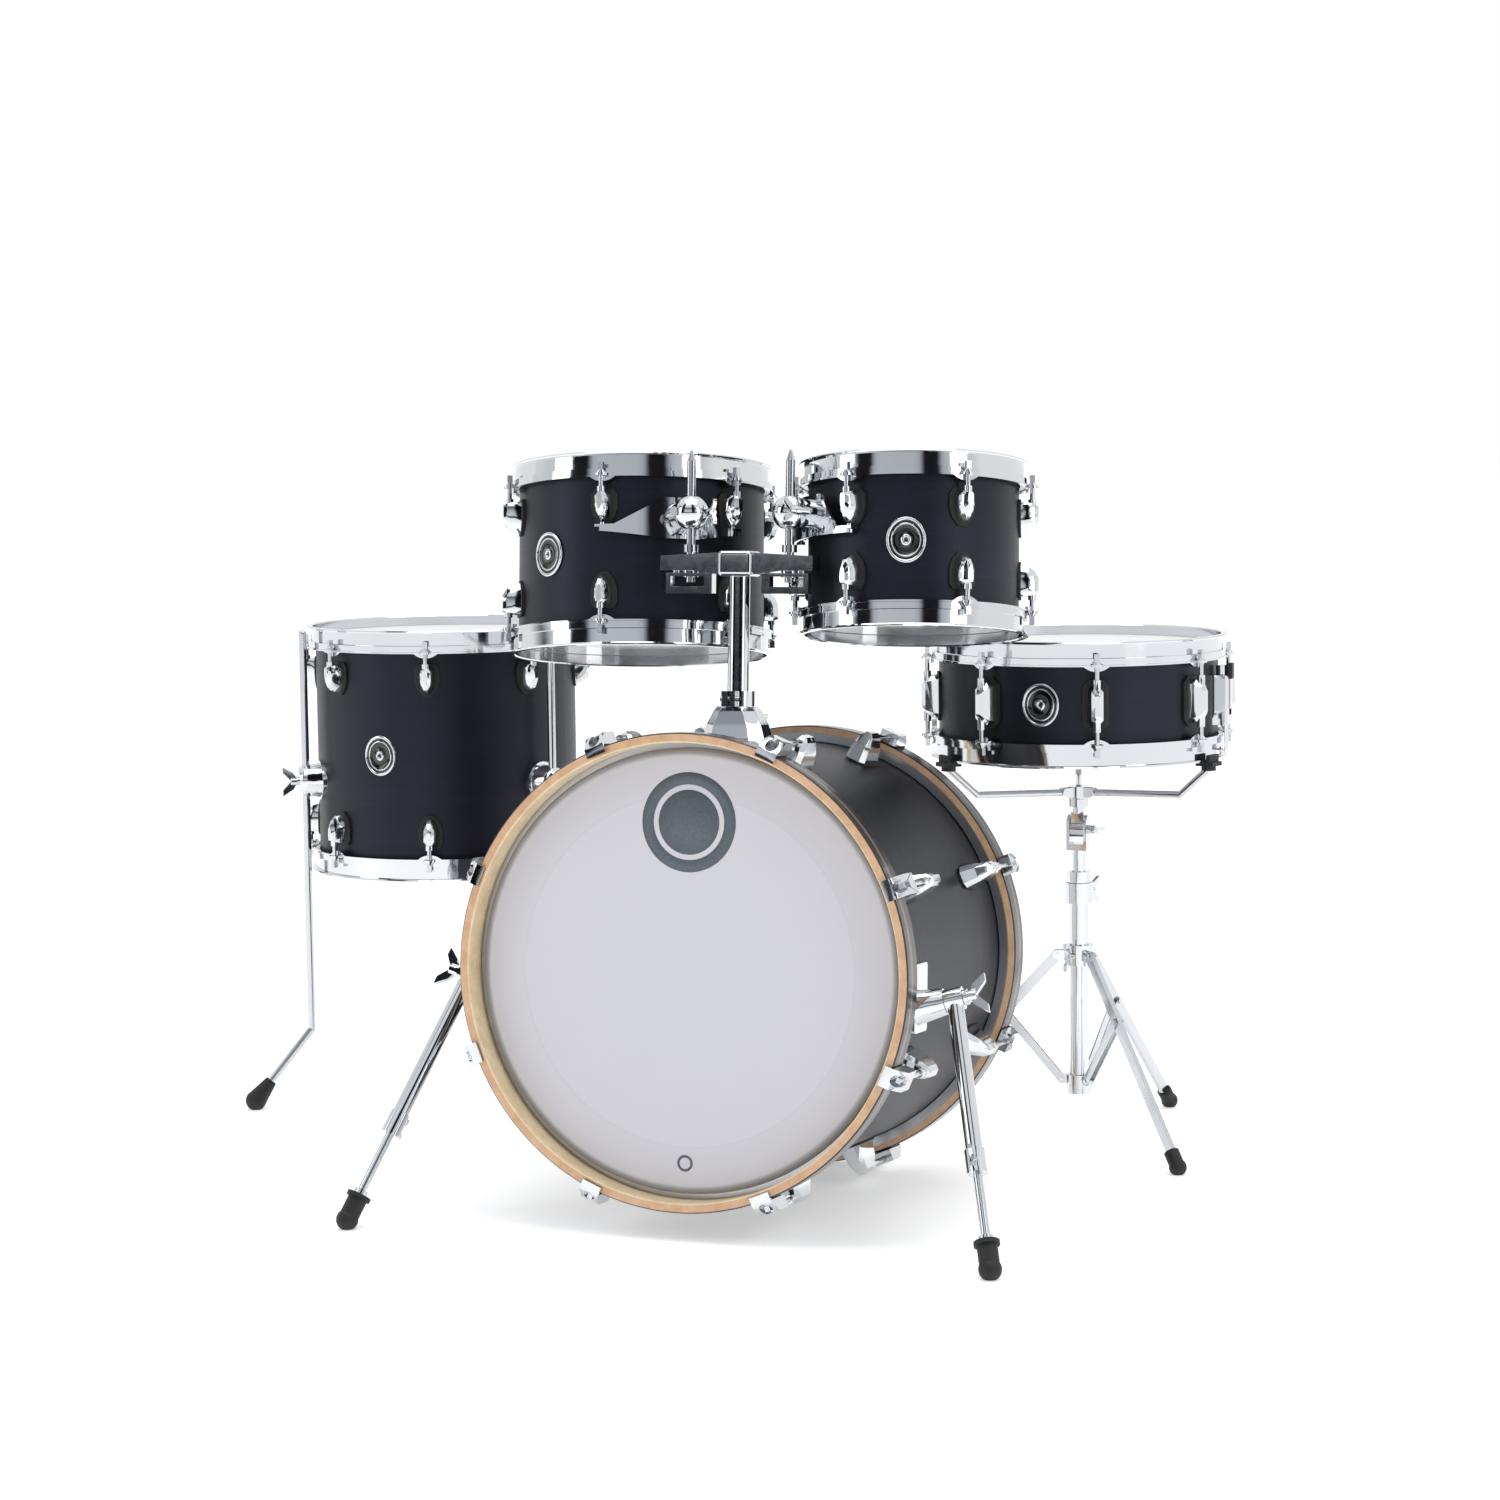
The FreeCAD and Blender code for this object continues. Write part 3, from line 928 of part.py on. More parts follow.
boxes = [shape.optimalBoundingBox(False, False) for shape in parts.values()]
middle = V(-(min(b.XMin for b in boxes) + max(b.XMax for b in boxes)) / 2,
           -(min(b.YMin for b in boxes) + max(b.YMax for b in boxes)) / 2,
           -min(b.ZMin for b in boxes))
os.makedirs("parts", exist_ok=True)
for name, shape in parts.items():
    moved(shape, middle).exportStep("parts/%s.step" % name)
print(len(parts), "nodes, moved by", middle)
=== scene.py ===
# %% [markdown]
# # An acoustic drum kit
# Five drums are carried over from the solid model: a bass drum on spurs, two rack toms on a
# double holder, a floor tom on legs and a snare drum in a folding stand. The solid model
# already has every size, so this lesson only dresses it: finishes first, then the fine
# pieces that a solid modeller finds slow, such as badges and grained ply.

# %% Load the solid model
import bmesh
import bpy
import math
import numpy as np
from mathutils import Matrix, Vector


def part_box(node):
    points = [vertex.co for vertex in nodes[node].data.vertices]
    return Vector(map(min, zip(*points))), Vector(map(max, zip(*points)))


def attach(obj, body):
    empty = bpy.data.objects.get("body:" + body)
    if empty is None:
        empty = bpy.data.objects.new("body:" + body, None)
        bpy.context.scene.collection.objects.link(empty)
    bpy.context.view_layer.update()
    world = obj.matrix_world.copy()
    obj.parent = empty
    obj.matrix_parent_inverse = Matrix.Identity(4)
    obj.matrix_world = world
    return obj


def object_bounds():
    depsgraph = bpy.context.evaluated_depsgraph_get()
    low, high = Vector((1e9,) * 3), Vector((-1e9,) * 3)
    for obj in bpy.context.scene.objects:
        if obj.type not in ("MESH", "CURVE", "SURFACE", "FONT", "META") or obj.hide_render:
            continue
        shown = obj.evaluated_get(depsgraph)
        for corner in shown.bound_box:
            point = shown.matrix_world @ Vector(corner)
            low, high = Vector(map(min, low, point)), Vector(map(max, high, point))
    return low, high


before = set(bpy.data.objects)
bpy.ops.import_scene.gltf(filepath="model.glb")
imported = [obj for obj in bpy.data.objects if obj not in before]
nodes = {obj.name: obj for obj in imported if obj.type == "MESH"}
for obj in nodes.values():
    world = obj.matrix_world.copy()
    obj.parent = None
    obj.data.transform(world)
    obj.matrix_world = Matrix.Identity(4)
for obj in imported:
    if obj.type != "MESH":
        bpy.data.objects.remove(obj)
cad_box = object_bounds()
mm = 0.001

# %% [markdown]
# ## The camera
# A long lens far away was chosen over a short one close by, because a short lens would swell
# the bass drum.

# %% Camera
LENS_MM, SENSOR_MM = 83.4, 36.0
YAW, PITCH, ROLL = 20.52, -5.57, -0.71
STAND_POINT = (1.440, -3.838, 0.9356)
bass_low, bass_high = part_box("bass_shell")
kit_middle = Vector(((bass_low[0] + bass_high[0]) / 2, (bass_low[1] + bass_high[1]) / 2, 0.0))
camera_data = bpy.data.cameras.new("camera")
camera_data.lens = LENS_MM
camera_data.sensor_width = SENSOR_MM
camera_data.clip_end = 200.0
camera = bpy.data.objects.new("camera", camera_data)
bpy.context.scene.collection.objects.link(camera)
yaw, pitch, roll = (math.radians(degrees) for degrees in (YAW, PITCH, ROLL))
turn = Matrix.Rotation(yaw, 4, "Z") @ Matrix.Rotation(math.pi / 2 + pitch, 4, "X")
turn = turn @ Matrix.Rotation(roll, 4, "Z")
place = kit_middle + Vector(STAND_POINT)
camera.matrix_world = Matrix.Translation(place) @ turn
bpy.context.scene.camera = camera
print("camera", tuple(round(v, 3) for v in place))

# %% [markdown]
# ## Helpers for finishes
# A finish is a small tree of nodes. One function turns the hex colours that paint makers
# print into the linear colours that a renderer adds up, and one adds a node with its
# settings and links in a single line.

# %% Colour and node helpers
def linear(hex_colour):
    values = [int(hex_colour[i:i + 2], 16) / 255 for i in (1, 3, 5)]
    return tuple(v / 12.92 if v <= 0.04045 else ((v + 0.055) / 1.055) ** 2.4 for v in values) + (1.0,)


def add(tree, kind, links=None, **settings):
    node = tree.nodes.new("ShaderNode" + kind)
    for name, value in settings.items():
        if hasattr(node, name):
            setattr(node, name, value)
        else:
            node.inputs[name.replace("_", " ")].default_value = value
    for name, source in (links or {}).items():
        tree.links.new(source, node.inputs[name])
    return node


def finish(name, colour, roughness, metallic=0.0, **sockets):
    material = bpy.data.materials.new(name)
    material.use_nodes = True
    shader = material.node_tree.nodes["Principled BSDF"]
    shader.inputs["Base Color"].default_value = linear(colour)
    shader.inputs["Roughness"].default_value = roughness
    shader.inputs["Metallic"].default_value = metallic
    for socket, value in sockets.items():
        shader.inputs[socket.replace("_", " ")].default_value = value
    return material, material.node_tree, shader


def ramp(tree, source, stops):
    node = add(tree, "ValToRGB", {"Fac": source})
    elements = node.color_ramp.elements
    while len(elements) < len(stops):
        elements.new(0.5)
    for element, (position, colour) in zip(elements, stops):
        element.position = position
        element.color = linear(colour)
    return node


def relief(tree, shader, height, strength, depth):
    """Raise the surface where the height is large, by about depth in metres."""
    bump = add(tree, "Bump", {"Height": height}, Strength=strength, Distance=depth)
    tree.links.new(bump.outputs["Normal"], shader.inputs["Normal"])


def uneven_gloss(tree, shader, source, smoothest, roughest):
    """Let the roughness wander between two values."""
    polish = add(tree, "MapRange", {"Value": source}, To_Min=smoothest, To_Max=roughest)
    tree.links.new(polish.outputs["Result"], shader.inputs["Roughness"])


def vector_math(tree, source, operation, other=None):
    node = add(tree, "VectorMath", {0: source}, operation=operation)
    if other is not None:
        node.inputs[1].default_value = other
    return node


def scalar_math(tree, source, operation, other=None):
    node = add(tree, "Math", {0: source}, operation=operation)
    if other is not None:
        node.inputs[1].default_value = other
    return node


print("helpers ready")

# %% [markdown]
# ## Chrome
# Hoops, lugs and stands are steel or zinc castings with bright chromium plating: almost a
# mirror, with the faintest orange peel from the polishing wheel. A very low roughness with a
# slow bump gives that; a plain mirror would look like glass.

# %% Chrome plate
def chrome_plate():
    material, tree, shader = finish("chrome plate", "#D6D9DC", 0.05, 1.0)
    place = add(tree, "TexCoord")
    smear = add(tree, "TexNoise", {"Vector": place.outputs["Object"]}, Scale=140.0, Detail=3.0)
    uneven_gloss(tree, shader, smear.outputs["Fac"], 0.035, 0.11)
    peel = add(tree, "TexNoise", {"Vector": place.outputs["Object"]}, Scale=60.0, Detail=1.0)
    relief(tree, shader, peel.outputs["Fac"], 0.04, 0.4 * mm)
    return material


chrome = chrome_plate()
print(chrome.name)

# %% [markdown]
# ## Drawn steel and bare aluminium
# Tension rods, leg rods and snare wires are drawn steel, plated thinly. The flesh ring of a
# head is bare aluminium with a soft sheen.

# %% Steel and aluminium
def drawn_steel():
    material, tree, shader = finish("plated drawn steel", "#C9CCD0", 0.14, 1.0)
    place = add(tree, "TexCoord")
    stretch = add(tree, "Mapping", {"Vector": place.outputs["Object"]}, Scale=(900.0, 900.0, 30.0))
    lines = add(tree, "TexNoise", {"Vector": stretch.outputs["Vector"]}, Scale=1.0, Detail=2.0)
    uneven_gloss(tree, shader, lines.outputs["Fac"], 0.08, 0.2)
    return material


steel = drawn_steel()
aluminium = finish("spun aluminium", "#C4C6C9", 0.28, 1.0)[0]
print(steel.name, "and", aluminium.name)

# %% [markdown]
# ## Black stained maple
# The shells are veneered in open wood, stained black under a satin lacquer. The grain runs
# round the drum, so it is stretched along the drum's own circumference: on an upright drum
# that means fine level lines. Each drum gets its own copy, turned to its own axis.

# %% Where each drum stands
def corners(node):
    mesh = nodes[node].data
    points = np.empty(len(mesh.vertices) * 3, np.float32)
    mesh.vertices.foreach_get("co", points)
    return points.reshape(-1, 3).astype(float)


def hoop_middles(drum):
    """Middle of the upper and of the lower hoop; on the bass drum the front and the rear one."""
    if drum == "bass":
        rings = [corners("bass_%s_hoop" % end) for end in ("front", "rear")]
    else:
        points = corners(drum + "_hoops")
        upper = points[:, 2] > (points[:, 2].max() + points[:, 2].min()) / 2
        rings = [points[upper], points[~upper]]
    return [(ring.max(0) + ring.min(0)) / 2 for ring in rings]


def drum_axis(drum):
    """Middle, axis, radius and length of a shell. Hoops are whole rings, so their middles are true."""
    first, last = hoop_middles(drum)
    axis = (first - last) / np.linalg.norm(first - last)
    points = corners(drum + "_shell") - (first + last) / 2
    along = points @ axis
    radius = np.linalg.norm(points - np.outer(along, axis), axis=1).max()
    middle = (first + last) / 2 + axis * (along.max() + along.min()) / 2
    return Vector(middle), Vector(axis), float(radius), float(along.max() - along.min())


drums = {name: drum_axis(name) for name in ("bass", "tom_left", "tom_right", "floor_tom", "snare")}
for name, (middle, axis, radius, length) in drums.items():
    print(name, "radius", round(radius / mm, 1), "length", round(length / mm, 1))

# %% [markdown]
# ## One veneer for each drum
# Fine noise stretched level is the grain, and a broader one is the cloudiness of a stain that
# soaked in unevenly. The same grain drives the colour, the gloss and the relief, because open
# pores are darker, duller and lower all at once.

# %% Stained veneer
def stained_veneer(drum):
    middle, axis, radius, length = drums[drum]
    material, tree, shader = finish("black stained maple " + drum, "#0E0F14", 0.4, Specular_IOR_Level=0.4,
                                    Specular_Tint=(0.72, 0.8, 1.0, 1))
    place = add(tree, "TexCoord")
    upright = axis.rotation_difference(Vector((0, 0, 1))).to_euler()
    straight = add(tree, "Mapping", {"Vector": place.outputs["Object"]}, Rotation=upright)
    # veneer grain: fine level lines 0.8 mm apart, some 60 mm long
    drawn = add(tree, "Mapping", {"Vector": straight.outputs["Vector"]}, Scale=(9.0, 9.0, 620.0))
    grain = add(tree, "TexNoise", {"Vector": drawn.outputs["Vector"]}, Scale=1.0, Detail=6.0,
                Roughness=0.62)
    broad = add(tree, "Mapping", {"Vector": straight.outputs["Vector"]}, Scale=(3.0, 3.0, 34.0))
    cloud = add(tree, "TexNoise", {"Vector": broad.outputs["Vector"]}, Scale=1.0, Detail=3.0)
    both = add(tree, "Math", {0: grain.outputs["Fac"], 1: cloud.outputs["Fac"]}, operation="ADD")
    half = scalar_math(tree, both.outputs["Value"], "MULTIPLY", 0.5)
    colours = ramp(tree, half.outputs["Value"], ((0.3, "#06070A"), (0.5, "#0C0D12"), (0.7, "#15171F")))
    tree.links.new(colours.outputs["Color"], shader.inputs["Base Color"])
    uneven_gloss(tree, shader, grain.outputs["Fac"], 0.36, 0.5)
    relief(tree, shader, grain.outputs["Fac"], 0.12, 0.2 * mm)
    return material


veneer = {name: stained_veneer(name) for name in drums}
print(len(veneer), "veneers")

# %% [markdown]
# ## Raw maple
# The front edge of the bass drum's hoop is bare ply, oiled: a pale tan face with darker
# pores, and thin lines where the plies meet.

# %% Oiled maple ply
def maple(name, pale, tan):
    material, tree, shader = finish(name, pale, 0.4, Coat_Weight=0.15)
    middle, axis, radius, length = drums["bass"]
    place = add(tree, "TexCoord")
    centred = add(tree, "Mapping", {"Vector": place.outputs["Object"]}, Location=-middle)
    grain = add(tree, "TexNoise", {"Vector": centred.outputs["Vector"]}, Scale=55.0, Detail=8.0,
                Roughness=0.7)
    colours = ramp(tree, grain.outputs["Fac"], ((0.3, tan), (0.62, pale)))
    tree.links.new(colours.outputs["Color"], shader.inputs["Base Color"])
    relief(tree, shader, grain.outputs["Fac"], 0.15, 0.2 * mm)
    return material


maple_edge = maple("oiled maple ply", "#DDB692", "#C79A74")
maple_inside = maple("pale maple ply", "#EDD9B4", "#D9BE92")

print(maple_edge.name, "and", maple_inside.name)

# %% [markdown]
# ## Lacquered hoop with an inlay
# The outer face of each bass drum hoop is lacquered black with a strip of brown let into it.
# The strip is painted by distance along the drum's axis, so it stays level all the way round.

# %% Hoop lacquer
HOOP_BEHIND, HOOP_PAST = 8 * mm, 28 * mm  # behind and past the shell's edge


def inlaid_lacquer():
    """Black lacquer with a brown inlay let into the middle of each hoop's outer face."""
    middle, axis, radius, length = drums["bass"]
    material, tree, shader = finish("black hoop lacquer", "#141518", 0.28, Coat_Weight=0.3)
    place = add(tree, "TexCoord")
    away = vector_math(tree, place.outputs["Object"], "SUBTRACT", middle)
    along = vector_math(tree, away.outputs["Vector"], "DOT_PRODUCT", axis)
    depth = scalar_math(tree, along.outputs["Value"], "ABSOLUTE")
    # the share runs over the hoop's width from its inner end to its front; the inlay is 6 mm wide
    share = add(tree, "MapRange", {"Value": depth.outputs["Value"]}, From_Min=length / 2 - HOOP_BEHIND,
                From_Max=length / 2 + HOOP_PAST)
    black = "#121316"
    stripes = ramp(tree, share.outputs["Result"], ((0.0, black), (0.44, black), (0.47, "#6E5646"),
                                                   (0.64, "#7A6050"), (0.67, black), (0.95, black)))
    tree.links.new(stripes.outputs["Color"], shader.inputs["Base Color"])
    return material


hoop_lacquer = inlaid_lacquer()
print(hoop_lacquer.name)

# %% [markdown]
# ## Drum heads
# Heads are polyester film. Batter heads are sprayed with a rough white coating that feels
# like fine paper; the toms' lower heads are clear, with a slight grey. The bass drum's front
# head is coated too, with a damping ring laid behind it that shows as a faint circle, and a
# thin band of painted shade at its outer edge, where it meets the hoop.

# %% Coated and clear film
def coated_film(name, colour, drum, ringed_and_rim_shaded=False):
    middle, axis, radius, length = drums[drum]
    material, tree, shader = finish(name, colour, 0.55, Sheen_Weight=0.1)
    place = add(tree, "TexCoord")
    speck = add(tree, "TexNoise", {"Vector": place.outputs["Object"]}, Scale=900.0, Detail=2.0)
    relief(tree, shader, speck.outputs["Fac"], 0.25, 0.15 * mm)
    if ringed_and_rim_shaded:
        away = vector_math(tree, place.outputs["Object"], "SUBTRACT", middle)
        cross = vector_math(tree, away.outputs["Vector"], "CROSS_PRODUCT", axis)
        reach = vector_math(tree, cross.outputs["Vector"], "LENGTH")
        share = scalar_math(tree, reach.outputs["Value"], "DIVIDE", radius)
        # the band from 0.79 to 0.97 of the radius is the damping ring behind the head; the dark grey from
        # 0.988 outwards is painted shade where the hoop meets the head
        rings = ramp(tree, share.outputs["Value"],
                     ((0.0, colour), (0.79, colour), (0.797, "#CCCBD0"), (0.805, "#D0CFD5"),
                      (0.97, "#CECDD3"), (0.988, "#8F8F93")))
        tree.links.new(rings.outputs["Color"], shader.inputs["Base Color"])
    return material


front_film = coated_film("coated film front", "#D3D2D8", "bass", ringed_and_rim_shaded=True)
batter_film = coated_film("coated film batter", "#E6E6E8", "floor_tom")
clear_film = finish("clear film", "#DADBDD", 0.12, Transmission_Weight=0.35, IOR=1.6)[0]
print("three films")

# %% [markdown]
# ## Rubber and moulded plastic
# Feet, claw pads, lug gaskets and grips are black rubber; the throw-off's tip is moulded.

# %% Rubber and plastic
def moulded_rubber():
    material, tree, shader = finish("moulded rubber", "#1A1A1C", 0.62)
    place = add(tree, "TexCoord")
    speck = add(tree, "TexNoise", {"Vector": place.outputs["Object"]}, Scale=700.0, Detail=2.0)
    relief(tree, shader, speck.outputs["Fac"], 0.2, 0.2 * mm)
    return material


rubber = moulded_rubber()
plastic = finish("black moulded nylon", "#18191B", 0.4)[0]
print(rubber.name, plastic.name)

# %% [markdown]
# ## Give each carried-over part its finish
# Several small solids share one part, such as a lug and its gasket, so a part may need two
# finishes. Either a rule looks at each face, or one looks at each whole loose solid. Places
# are measured in the drum's own terms: out from the shell, past its edge, and up its axis.

# %% Rules for choosing a finish
def dress(node, finishes, rule=None):
    mesh = nodes[node].data
    mesh.materials.clear()
    for material in finishes:
        mesh.materials.append(material)
    for face in mesh.polygons:
        face.material_index = rule(face.center, face.normal) if rule else 0


def solids(node):
    """The loose solids of a part, each as its faces' numbers with its lowest and highest corner."""
    form = bmesh.new()
    form.from_mesh(nodes[node].data)
    home = form.faces.layers.int.new("home")
    for number, face in enumerate(form.faces):
        face[home] = number
    bmesh.ops.remove_doubles(form, verts=form.verts, dist=0.002 * mm)
    found, seen = [], set()
    for start in form.faces:
        if start in seen:
            continue
        seen.add(start)
        grown = [start]
        for face in grown:
            for edge in face.edges:
                if len(edge.link_faces) == 2:
                    fresh = [other for other in edge.link_faces if other not in seen]
                    seen.update(fresh)
                    grown.extend(fresh)
        spots = [vert.co.copy() for face in grown for vert in face.verts]
        found.append(([face[home] for face in grown], spots))
    form.free()
    return found


def dress_solids(node, finishes, choose):
    """Like dress, but one finish for a whole loose solid, chosen from its corners."""
    mesh = nodes[node].data
    mesh.materials.clear()
    for material in finishes:
        mesh.materials.append(material)
    for faces, spots in solids(node):
        pick = choose(spots)
        for number in faces:
            mesh.polygons[number].material_index = pick


FLESH_OUT, FLESH_PAST = 1.1 * mm, -7.9 * mm  # a face of the flesh ring lies beyond both


def under(height):
    return lambda spots: 1 if max(spot.z for spot in spots) < height else 0


def over(height):
    return lambda spots: 1 if min(spot.z for spot in spots) > height else 0


def near_shell(drum, reach):
    return lambda spots: 1 if max(drum_place(drum, spot)[0] for spot in spots) < reach else 0


def drum_place(drum, point):
    """How far a point is out from the shell, past its edge, and up the axis from its middle."""
    middle, axis, radius, length = drums[drum]
    away = point - middle
    height = away.dot(axis)
    return (away - axis * height).length - radius, abs(height) - length / 2, height


def head_rule(drum):
    def rule(point, normal):
        out, past, height = drum_place(drum, point)
        if out > FLESH_OUT and past < FLESH_PAST:
            return 2
        return 0 if height > 0 else 1
    return rule


def hoop_rule(point, normal):
    """Edge, inside or outer face of a wooden hoop, by the way the face looks."""
    middle, axis, radius, length = drums["bass"]
    away = point - middle
    facing = normal.dot((away - axis * away.dot(axis)).normalized())
    if facing < -0.5:
        return 1
    return 2 if facing > 0.5 else 0


print("rules ready")

# %% [markdown]
# ## Assign the finishes
# Drums first, since all five share a pattern, then castings in chrome, then thin drawn parts
# in steel. Feet and grips are the solids nearest the floor or nearest the top of their part.

# %% Assign finishes
GASKET, CLAW_PAD = 6 * mm, 23 * mm  # a solid wholly this near the shell is rubber
FOOT_TALL, TIP_TALL = 55 * mm, 25 * mm  # so is one wholly this near the bottom or the top
for drum in ("tom_left", "tom_right", "floor_tom", "snare"):
    dress(drum + "_shell", [veneer[drum]])
    dress(drum + "_hoops", [chrome])
    dress(drum + "_rods", [steel])
    dress_solids(drum + "_lugs", [chrome, rubber], near_shell(drum, GASKET))
    dress(drum + "_heads", [batter_film, clear_film, aluminium], head_rule(drum))
dress("bass_shell", [veneer["bass"]])
dress_solids("bass_lugs", [chrome, rubber], near_shell("bass", GASKET))
dress("bass_rods", [steel])
dress("bass_front_head", [front_film, front_film, aluminium], head_rule("bass"))
dress("bass_rear_head", [batter_film, batter_film, aluminium], head_rule("bass"))
for hoop in ("bass_front_hoop", "bass_rear_hoop"):
    dress(hoop, [maple_edge, maple_inside, hoop_lacquer], hoop_rule)
dress_solids("bass_claws", [chrome, rubber], near_shell("bass", CLAW_PAD))
dress_solids("holder_base", [chrome, rubber], near_shell("bass", GASKET))
for node in ("spur_brackets", "holder_post", "holder_head", "tom_left_bracket", "tom_right_bracket",
             "floor_tom_leg_brackets", "snare_strainer", "stand_tube", "stand_collar", "stand_upper",
             "stand_basket", "spur_tube_left", "spur_tube_right"):
    dress(node, [chrome])
for node in nodes:
    floor_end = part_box(node)[0].z
    if node.startswith(("arm_rod", "snare_wires", "stand_brace")):
        dress(node, [steel])
    elif node.startswith(("spur_rod", "stand_leg", "floor_tom_leg_")) and "brackets" not in node:
        dress_solids(node, [steel, rubber], under(floor_end + FOOT_TALL))
    elif node.startswith("stand_arm"):
        dress_solids(node, [steel, rubber], over(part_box(node)[1].z - TIP_TALL))
    elif node == "snare_throw_lever":
        dress_solids(node, [chrome, plastic], over(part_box(node)[1].z - TIP_TALL))
print("every part has its finish")

# %% [markdown]
# ## Softened casting edges
# No real casting or pressed hoop has a knife edge: plating rounds it by about half a
# millimetre, and that thin line is what catches the light. The carried-over meshes keep their
# shape, and three modifiers finish them: Weld joins the loose triangles, Bevel rounds the
# sharp edges and Weighted Normal keeps the broad faces flat.

# %% Soften edges
WELD_GAP = 0.004 * mm
SHARP_DEGREES = 40
CAST_ROUND, HOOP_ROUND = 0.6 * mm, 0.8 * mm


def soften(node, width):
    part = nodes[node]
    for face in part.data.polygons:
        face.use_smooth = True
    weld = part.modifiers.new("weld", "WELD")
    weld.merge_threshold = WELD_GAP
    bevel = part.modifiers.new("edge", "BEVEL")
    bevel.width, bevel.segments, bevel.limit_method = width, 2, "ANGLE"
    bevel.angle_limit = math.radians(SHARP_DEGREES)
    bevel.use_clamp_overlap = True
    normals = part.modifiers.new("normals", "WEIGHTED_NORMAL")
    normals.keep_sharp = False
    normals.weight = 80


CAST = ["holder_base", "holder_head", "tom_left_bracket", "tom_right_bracket", "spur_brackets",
        "bass_claws", "bass_lugs", "floor_tom_leg_brackets", "snare_strainer", "stand_collar",
        "stand_basket", "stand_upper"]
CAST += [drum + "_lugs" for drum in ("tom_left", "tom_right", "floor_tom", "snare")]
for node in CAST:
    soften(node, CAST_ROUND)
for node in ("bass_front_hoop", "bass_rear_hoop"):
    soften(node, HOOP_ROUND)
print(len(CAST), "castings softened")

# %% [markdown]
# ## Badges
# The four smaller drums each carry an oval badge round the air vent: black enamel in a
# pressed chrome frame. It is turned like a bowl on a lathe with Spin, squeezed to an oval and
# then wrapped round the shell, because a flat plate would stand off a curved drum.

# %% Lathe helper
def turned_form(profile, steps=72):
    """A bmesh turned about Z from (radius, height) points in millimetres, open or closed."""
    form = bmesh.new()
    spots = [form.verts.new((radius * mm, 0.0, height * mm)) for radius, height in profile]
    edges = [form.edges.new(pair) for pair in zip(spots, spots[1:])]
    bmesh.ops.spin(form, geom=spots + edges, cent=(0, 0, 0), axis=(0, 0, 1), angle=2 * math.pi,
                   steps=steps, use_merge=True)
    bmesh.ops.remove_doubles(form, verts=form.verts, dist=0.001 * mm)
    bmesh.ops.recalc_face_normals(form, faces=form.faces)
    return form


def keep(form, name, finishes, body):
    """Store a finished form as a piece that rides on a body."""
    for face in form.faces:
        face.smooth = True
    mesh = bpy.data.meshes.new(name)
    form.to_mesh(mesh)
    form.free()
    for material in finishes:
        mesh.materials.append(material)
    piece = bpy.data.objects.new(name, mesh)
    bpy.context.scene.collection.objects.link(piece)
    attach(piece, body)
    return piece


def enamel_finish():
    """Vitreous enamel: glossy black with the faint waviness of a fired glaze."""
    material, tree, shader = finish("black enamel", "#0A0B0D", 0.12, Coat_Weight=0.5)
    place = add(tree, "TexCoord")
    wave = add(tree, "TexNoise", {"Vector": place.outputs["Object"]}, Scale=180.0, Detail=1.0)
    relief(tree, shader, wave.outputs["Fac"], 0.1, 0.2 * mm)
    return material


enamel = enamel_finish()
print("lathe ready")

# %% [markdown]
# ## The badges themselves
# The profile runs from the eyelet of the air vent, over the enamel and a raised line, to the
# frame. Finishes are chosen by distance from the middle before the badge is squeezed, while
# it is still round.

# %% Badges
VENT = 2.6
EYELET = 6.0
LINE = (16.6, 18.4)
FRAME = 21.5
STRETCH = (0.94, 1.08, 1.0)
BADGE_PROFILE = [(0, 0.2), (2.6, 0.2), (2.8, 0.8), (3.3, 1.5), (4.4, 1.7), (5.5, 1.3), (6.0, 0.7),
                 (16.8, 0.7), (17.0, 1.0), (18.0, 1.0), (18.2, 0.7), (21.5, 0.7), (21.8, 1.2),
                 (22.6, 1.8), (23.8, 1.7), (24.7, 1.1), (25.0, 0.3), (25.0, -0.3), (0, -0.3)]


def badge(drum, body, azimuth):
    """Oval badge halfway up the shell, at an angle from the audience's side."""
    middle, axis, radius, length = drums[drum]
    form = turned_form(BADGE_PROFILE)
    for face in form.faces:
        reach = face.calc_center_median().xy.length / mm
        enamelled = EYELET < reach < LINE[0] or LINE[1] < reach < FRAME
        face.material_index = 1 if enamelled or reach < VENT else 0
    bmesh.ops.scale(form, vec=STRETCH, verts=form.verts)
    front = Vector((0, -1, 0))
    front = (front - axis * front.dot(axis)).normalized()
    side = axis.cross(front)
    for vert in form.verts:
        angle = math.radians(azimuth) + vert.co.x / radius
        out = front * math.cos(angle) + side * math.sin(angle)
        vert.co = middle + axis * vert.co.y + out * (radius + vert.co.z)
    bmesh.ops.recalc_face_normals(form, faces=form.faces)
    return keep(form, "badge_" + drum, [chrome, enamel], body)


badges = [badge("tom_left", "tom_left", -25), badge("tom_right", "tom_right", 14),
          badge("floor_tom", "floor_tom", -5), badge("snare", "snare_drum", 0)]
print(len(badges), "badges")

# %% [markdown]
# ## Printed marks on the front head
# The front head is screen printed in slate ink. The print here is a plain disc in a ring, and
# a small ring stands near the lower edge. Each is a film of ink 0.1 mm thick, turned on the
# lathe too and laid on the head.

# %% Printed marks
def slate_ink():
    """Screen-printed ink: matt, and a touch uneven where the mesh left more or less of it."""
    material, tree, shader = finish("slate printing ink", "#58616B", 0.6)
    place = add(tree, "TexCoord")
    patch = add(tree, "TexNoise", {"Vector": place.outputs["Object"]}, Scale=400.0, Detail=3.0)
    colours = ramp(tree, patch.outputs["Fac"], ((0.3, "#535C66"), (0.7, "#5F6872")))
    tree.links.new(colours.outputs["Color"], shader.inputs["Base Color"])
    return material


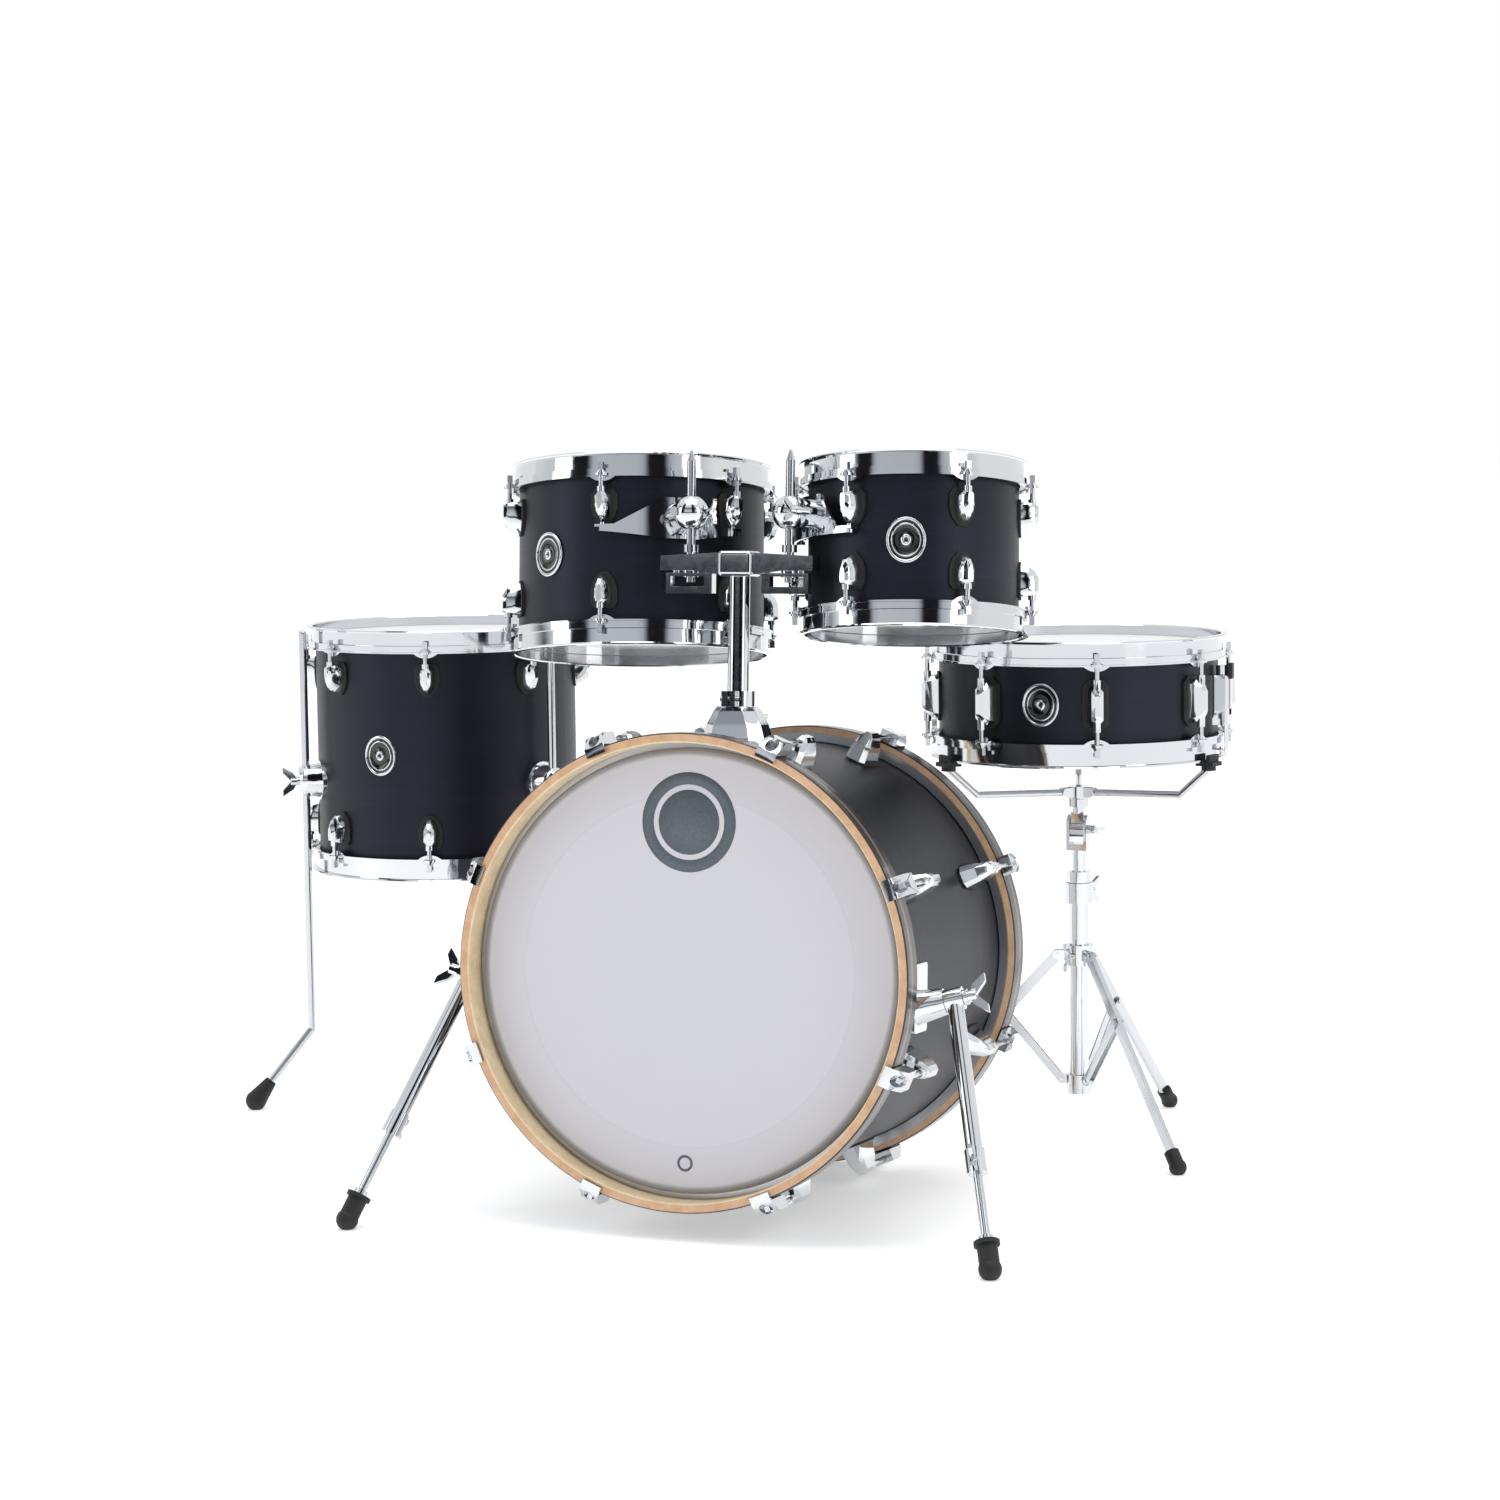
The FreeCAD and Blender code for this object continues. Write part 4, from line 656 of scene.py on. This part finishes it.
ink = slate_ink()
INK_RISE = 0.55 * mm  # the head's film stands 0.5 mm past the shell's edge
INK_THICK = 0.1
DISC_R = 37
RING_R = (43, 57)
SMALL_RING_R = (6.5, 9.5)
PRINT_UP, SMALL_RING_DOWN = 170, 219


def printed_ring(name, inner, outer, rise):
    """A ring of ink on the front head, its middle this far above the head's middle."""
    middle, axis, radius, length = drums["bass"]
    profile = [(inner, 0.0), (outer, 0.0), (outer, INK_THICK), (inner, INK_THICK), (inner, 0.0)]
    if inner == 0:
        profile = profile[:-1]
    form = turned_form(profile, 96)
    up = (Vector((0, 0, 1)) - axis * axis.z).normalized()
    upright = Matrix((up.cross(axis), up, axis)).transposed().to_4x4()
    face_at = middle + axis * (length / 2 + INK_RISE) + up * rise * mm
    bmesh.ops.transform(form, matrix=Matrix.Translation(face_at) @ upright, verts=form.verts)
    bmesh.ops.recalc_face_normals(form, faces=form.faces)
    return keep(form, name, [ink], "bass_drum")


marks = [printed_ring("printed_disc", 0, DISC_R, PRINT_UP),
         printed_ring("printed_ring", *RING_R, PRINT_UP),
         printed_ring("printed_small_ring", *SMALL_RING_R, -SMALL_RING_DOWN)]
print(len(marks), "printed marks")

# %% [markdown]
# ## Light
# A white room with one broad light overhead: that is how a studio keeps chrome clean.

# %% Room
def white_room():
    world = bpy.data.worlds.new("white room")
    world.use_nodes = True
    bpy.context.scene.world = world
    tree = world.node_tree
    ground = tree.nodes["Background"]
    place = add(tree, "TexCoord")
    split = add(tree, "SeparateXYZ", {"Vector": place.outputs["Generated"]})
    sky = ramp(tree, split.outputs["Z"], ((0.0, "#C4C6CA"), (0.03, "#2A2C30"), (0.09, "#3A3D42"),
                                          (0.12, "#E9EBEE"), (0.36, "#B9BCC2"), (0.5, "#50545A"),
                                          (0.62, "#F4F6FA")))
    angle = add(tree, "Math", {0: split.outputs["Y"], 1: split.outputs["X"]}, operation="ARCTAN2")
    bands = scalar_math(tree, angle.outputs["Value"], "MULTIPLY", 5.0)
    wave = scalar_math(tree, bands.outputs["Value"], "SINE")
    tone = ramp(tree, wave.outputs["Value"], ((0.0, "#FFFFFF"), (0.5, "#E6E8EC"), (0.82, "#24262A")))
    both = add(tree, "Mix", data_type="RGBA", blend_type="MULTIPLY")
    both.inputs[0].default_value = 1.0
    tree.links.new(sky.outputs["Color"], both.inputs[6])
    tree.links.new(tone.outputs["Color"], both.inputs[7])
    behind = add(tree, "MapRange", {"Value": split.outputs["Y"]}, From_Min=-0.25, From_Max=0.05)
    room = add(tree, "Mix", {"Factor": behind.outputs["Result"]}, data_type="RGBA")
    tree.links.new(both.outputs[2], room.inputs[6])
    room.inputs[7].default_value = (1, 1, 1, 1)
    tree.links.new(room.outputs[2], ground.inputs["Color"])
    ground.inputs["Strength"].default_value = 1.0


white_room()
print("white room")

# %% [markdown]
# ## Lamps and floor
# The broad lamp overhead gives the soft shadow under the bass drum, and two upright ones put
# a sheen down the shells' sides. The floor is pale paper that glows faintly, as a lit sweep
# does, so that it fades into the room with no horizon.

# %% Lamps and floor
FLOOR_GAP = 0.0005
FLOOR_HALF = 40.0
FLOOR_GLOW = 0.42


def softbox(name, where, towards, wide, tall, watts):
    data = bpy.data.lights.new(name, "AREA")
    data.shape = "RECTANGLE"
    data.size, data.size_y, data.energy = wide, tall, watts
    lamp = bpy.data.objects.new(name, data)
    bpy.context.scene.collection.objects.link(lamp)
    lamp.location = where
    lamp.rotation_euler = (Vector(towards) - Vector(where)).to_track_quat("-Z", "Y").to_euler()


softbox("overhead light", (0.3, -0.6, 3.4), (0, 0, 0.4), 3.0, 2.2, 42)
softbox("left light", (-3.4, -2.6, 1.8), (0, 0, 0.5), 1.4, 2.4, 22)
softbox("right light", (3.2, -1.4, 1.6), (0, 0, 0.4), 1.0, 2.4, 14)

floor_form = bmesh.new()
bmesh.ops.create_grid(floor_form, x_segments=1, y_segments=1, size=FLOOR_HALF)
floor_mesh = bpy.data.meshes.new("floor")
floor_form.to_mesh(floor_mesh)
floor_form.free()
floor = bpy.data.objects.new("floor", floor_mesh)
bpy.context.scene.collection.objects.link(floor)
floor_mesh.transform(Matrix.Translation((0, 0, cad_box[0][2] - FLOOR_GAP)))
paper = finish("white paper floor", "#F4F4F4", 0.7, Emission_Color=(1, 1, 1, 1),
               Emission_Strength=FLOOR_GLOW)[0]
floor_mesh.materials.append(paper)
bpy.context.scene.view_settings.view_transform = "Standard"
print("three lamps and a floor")
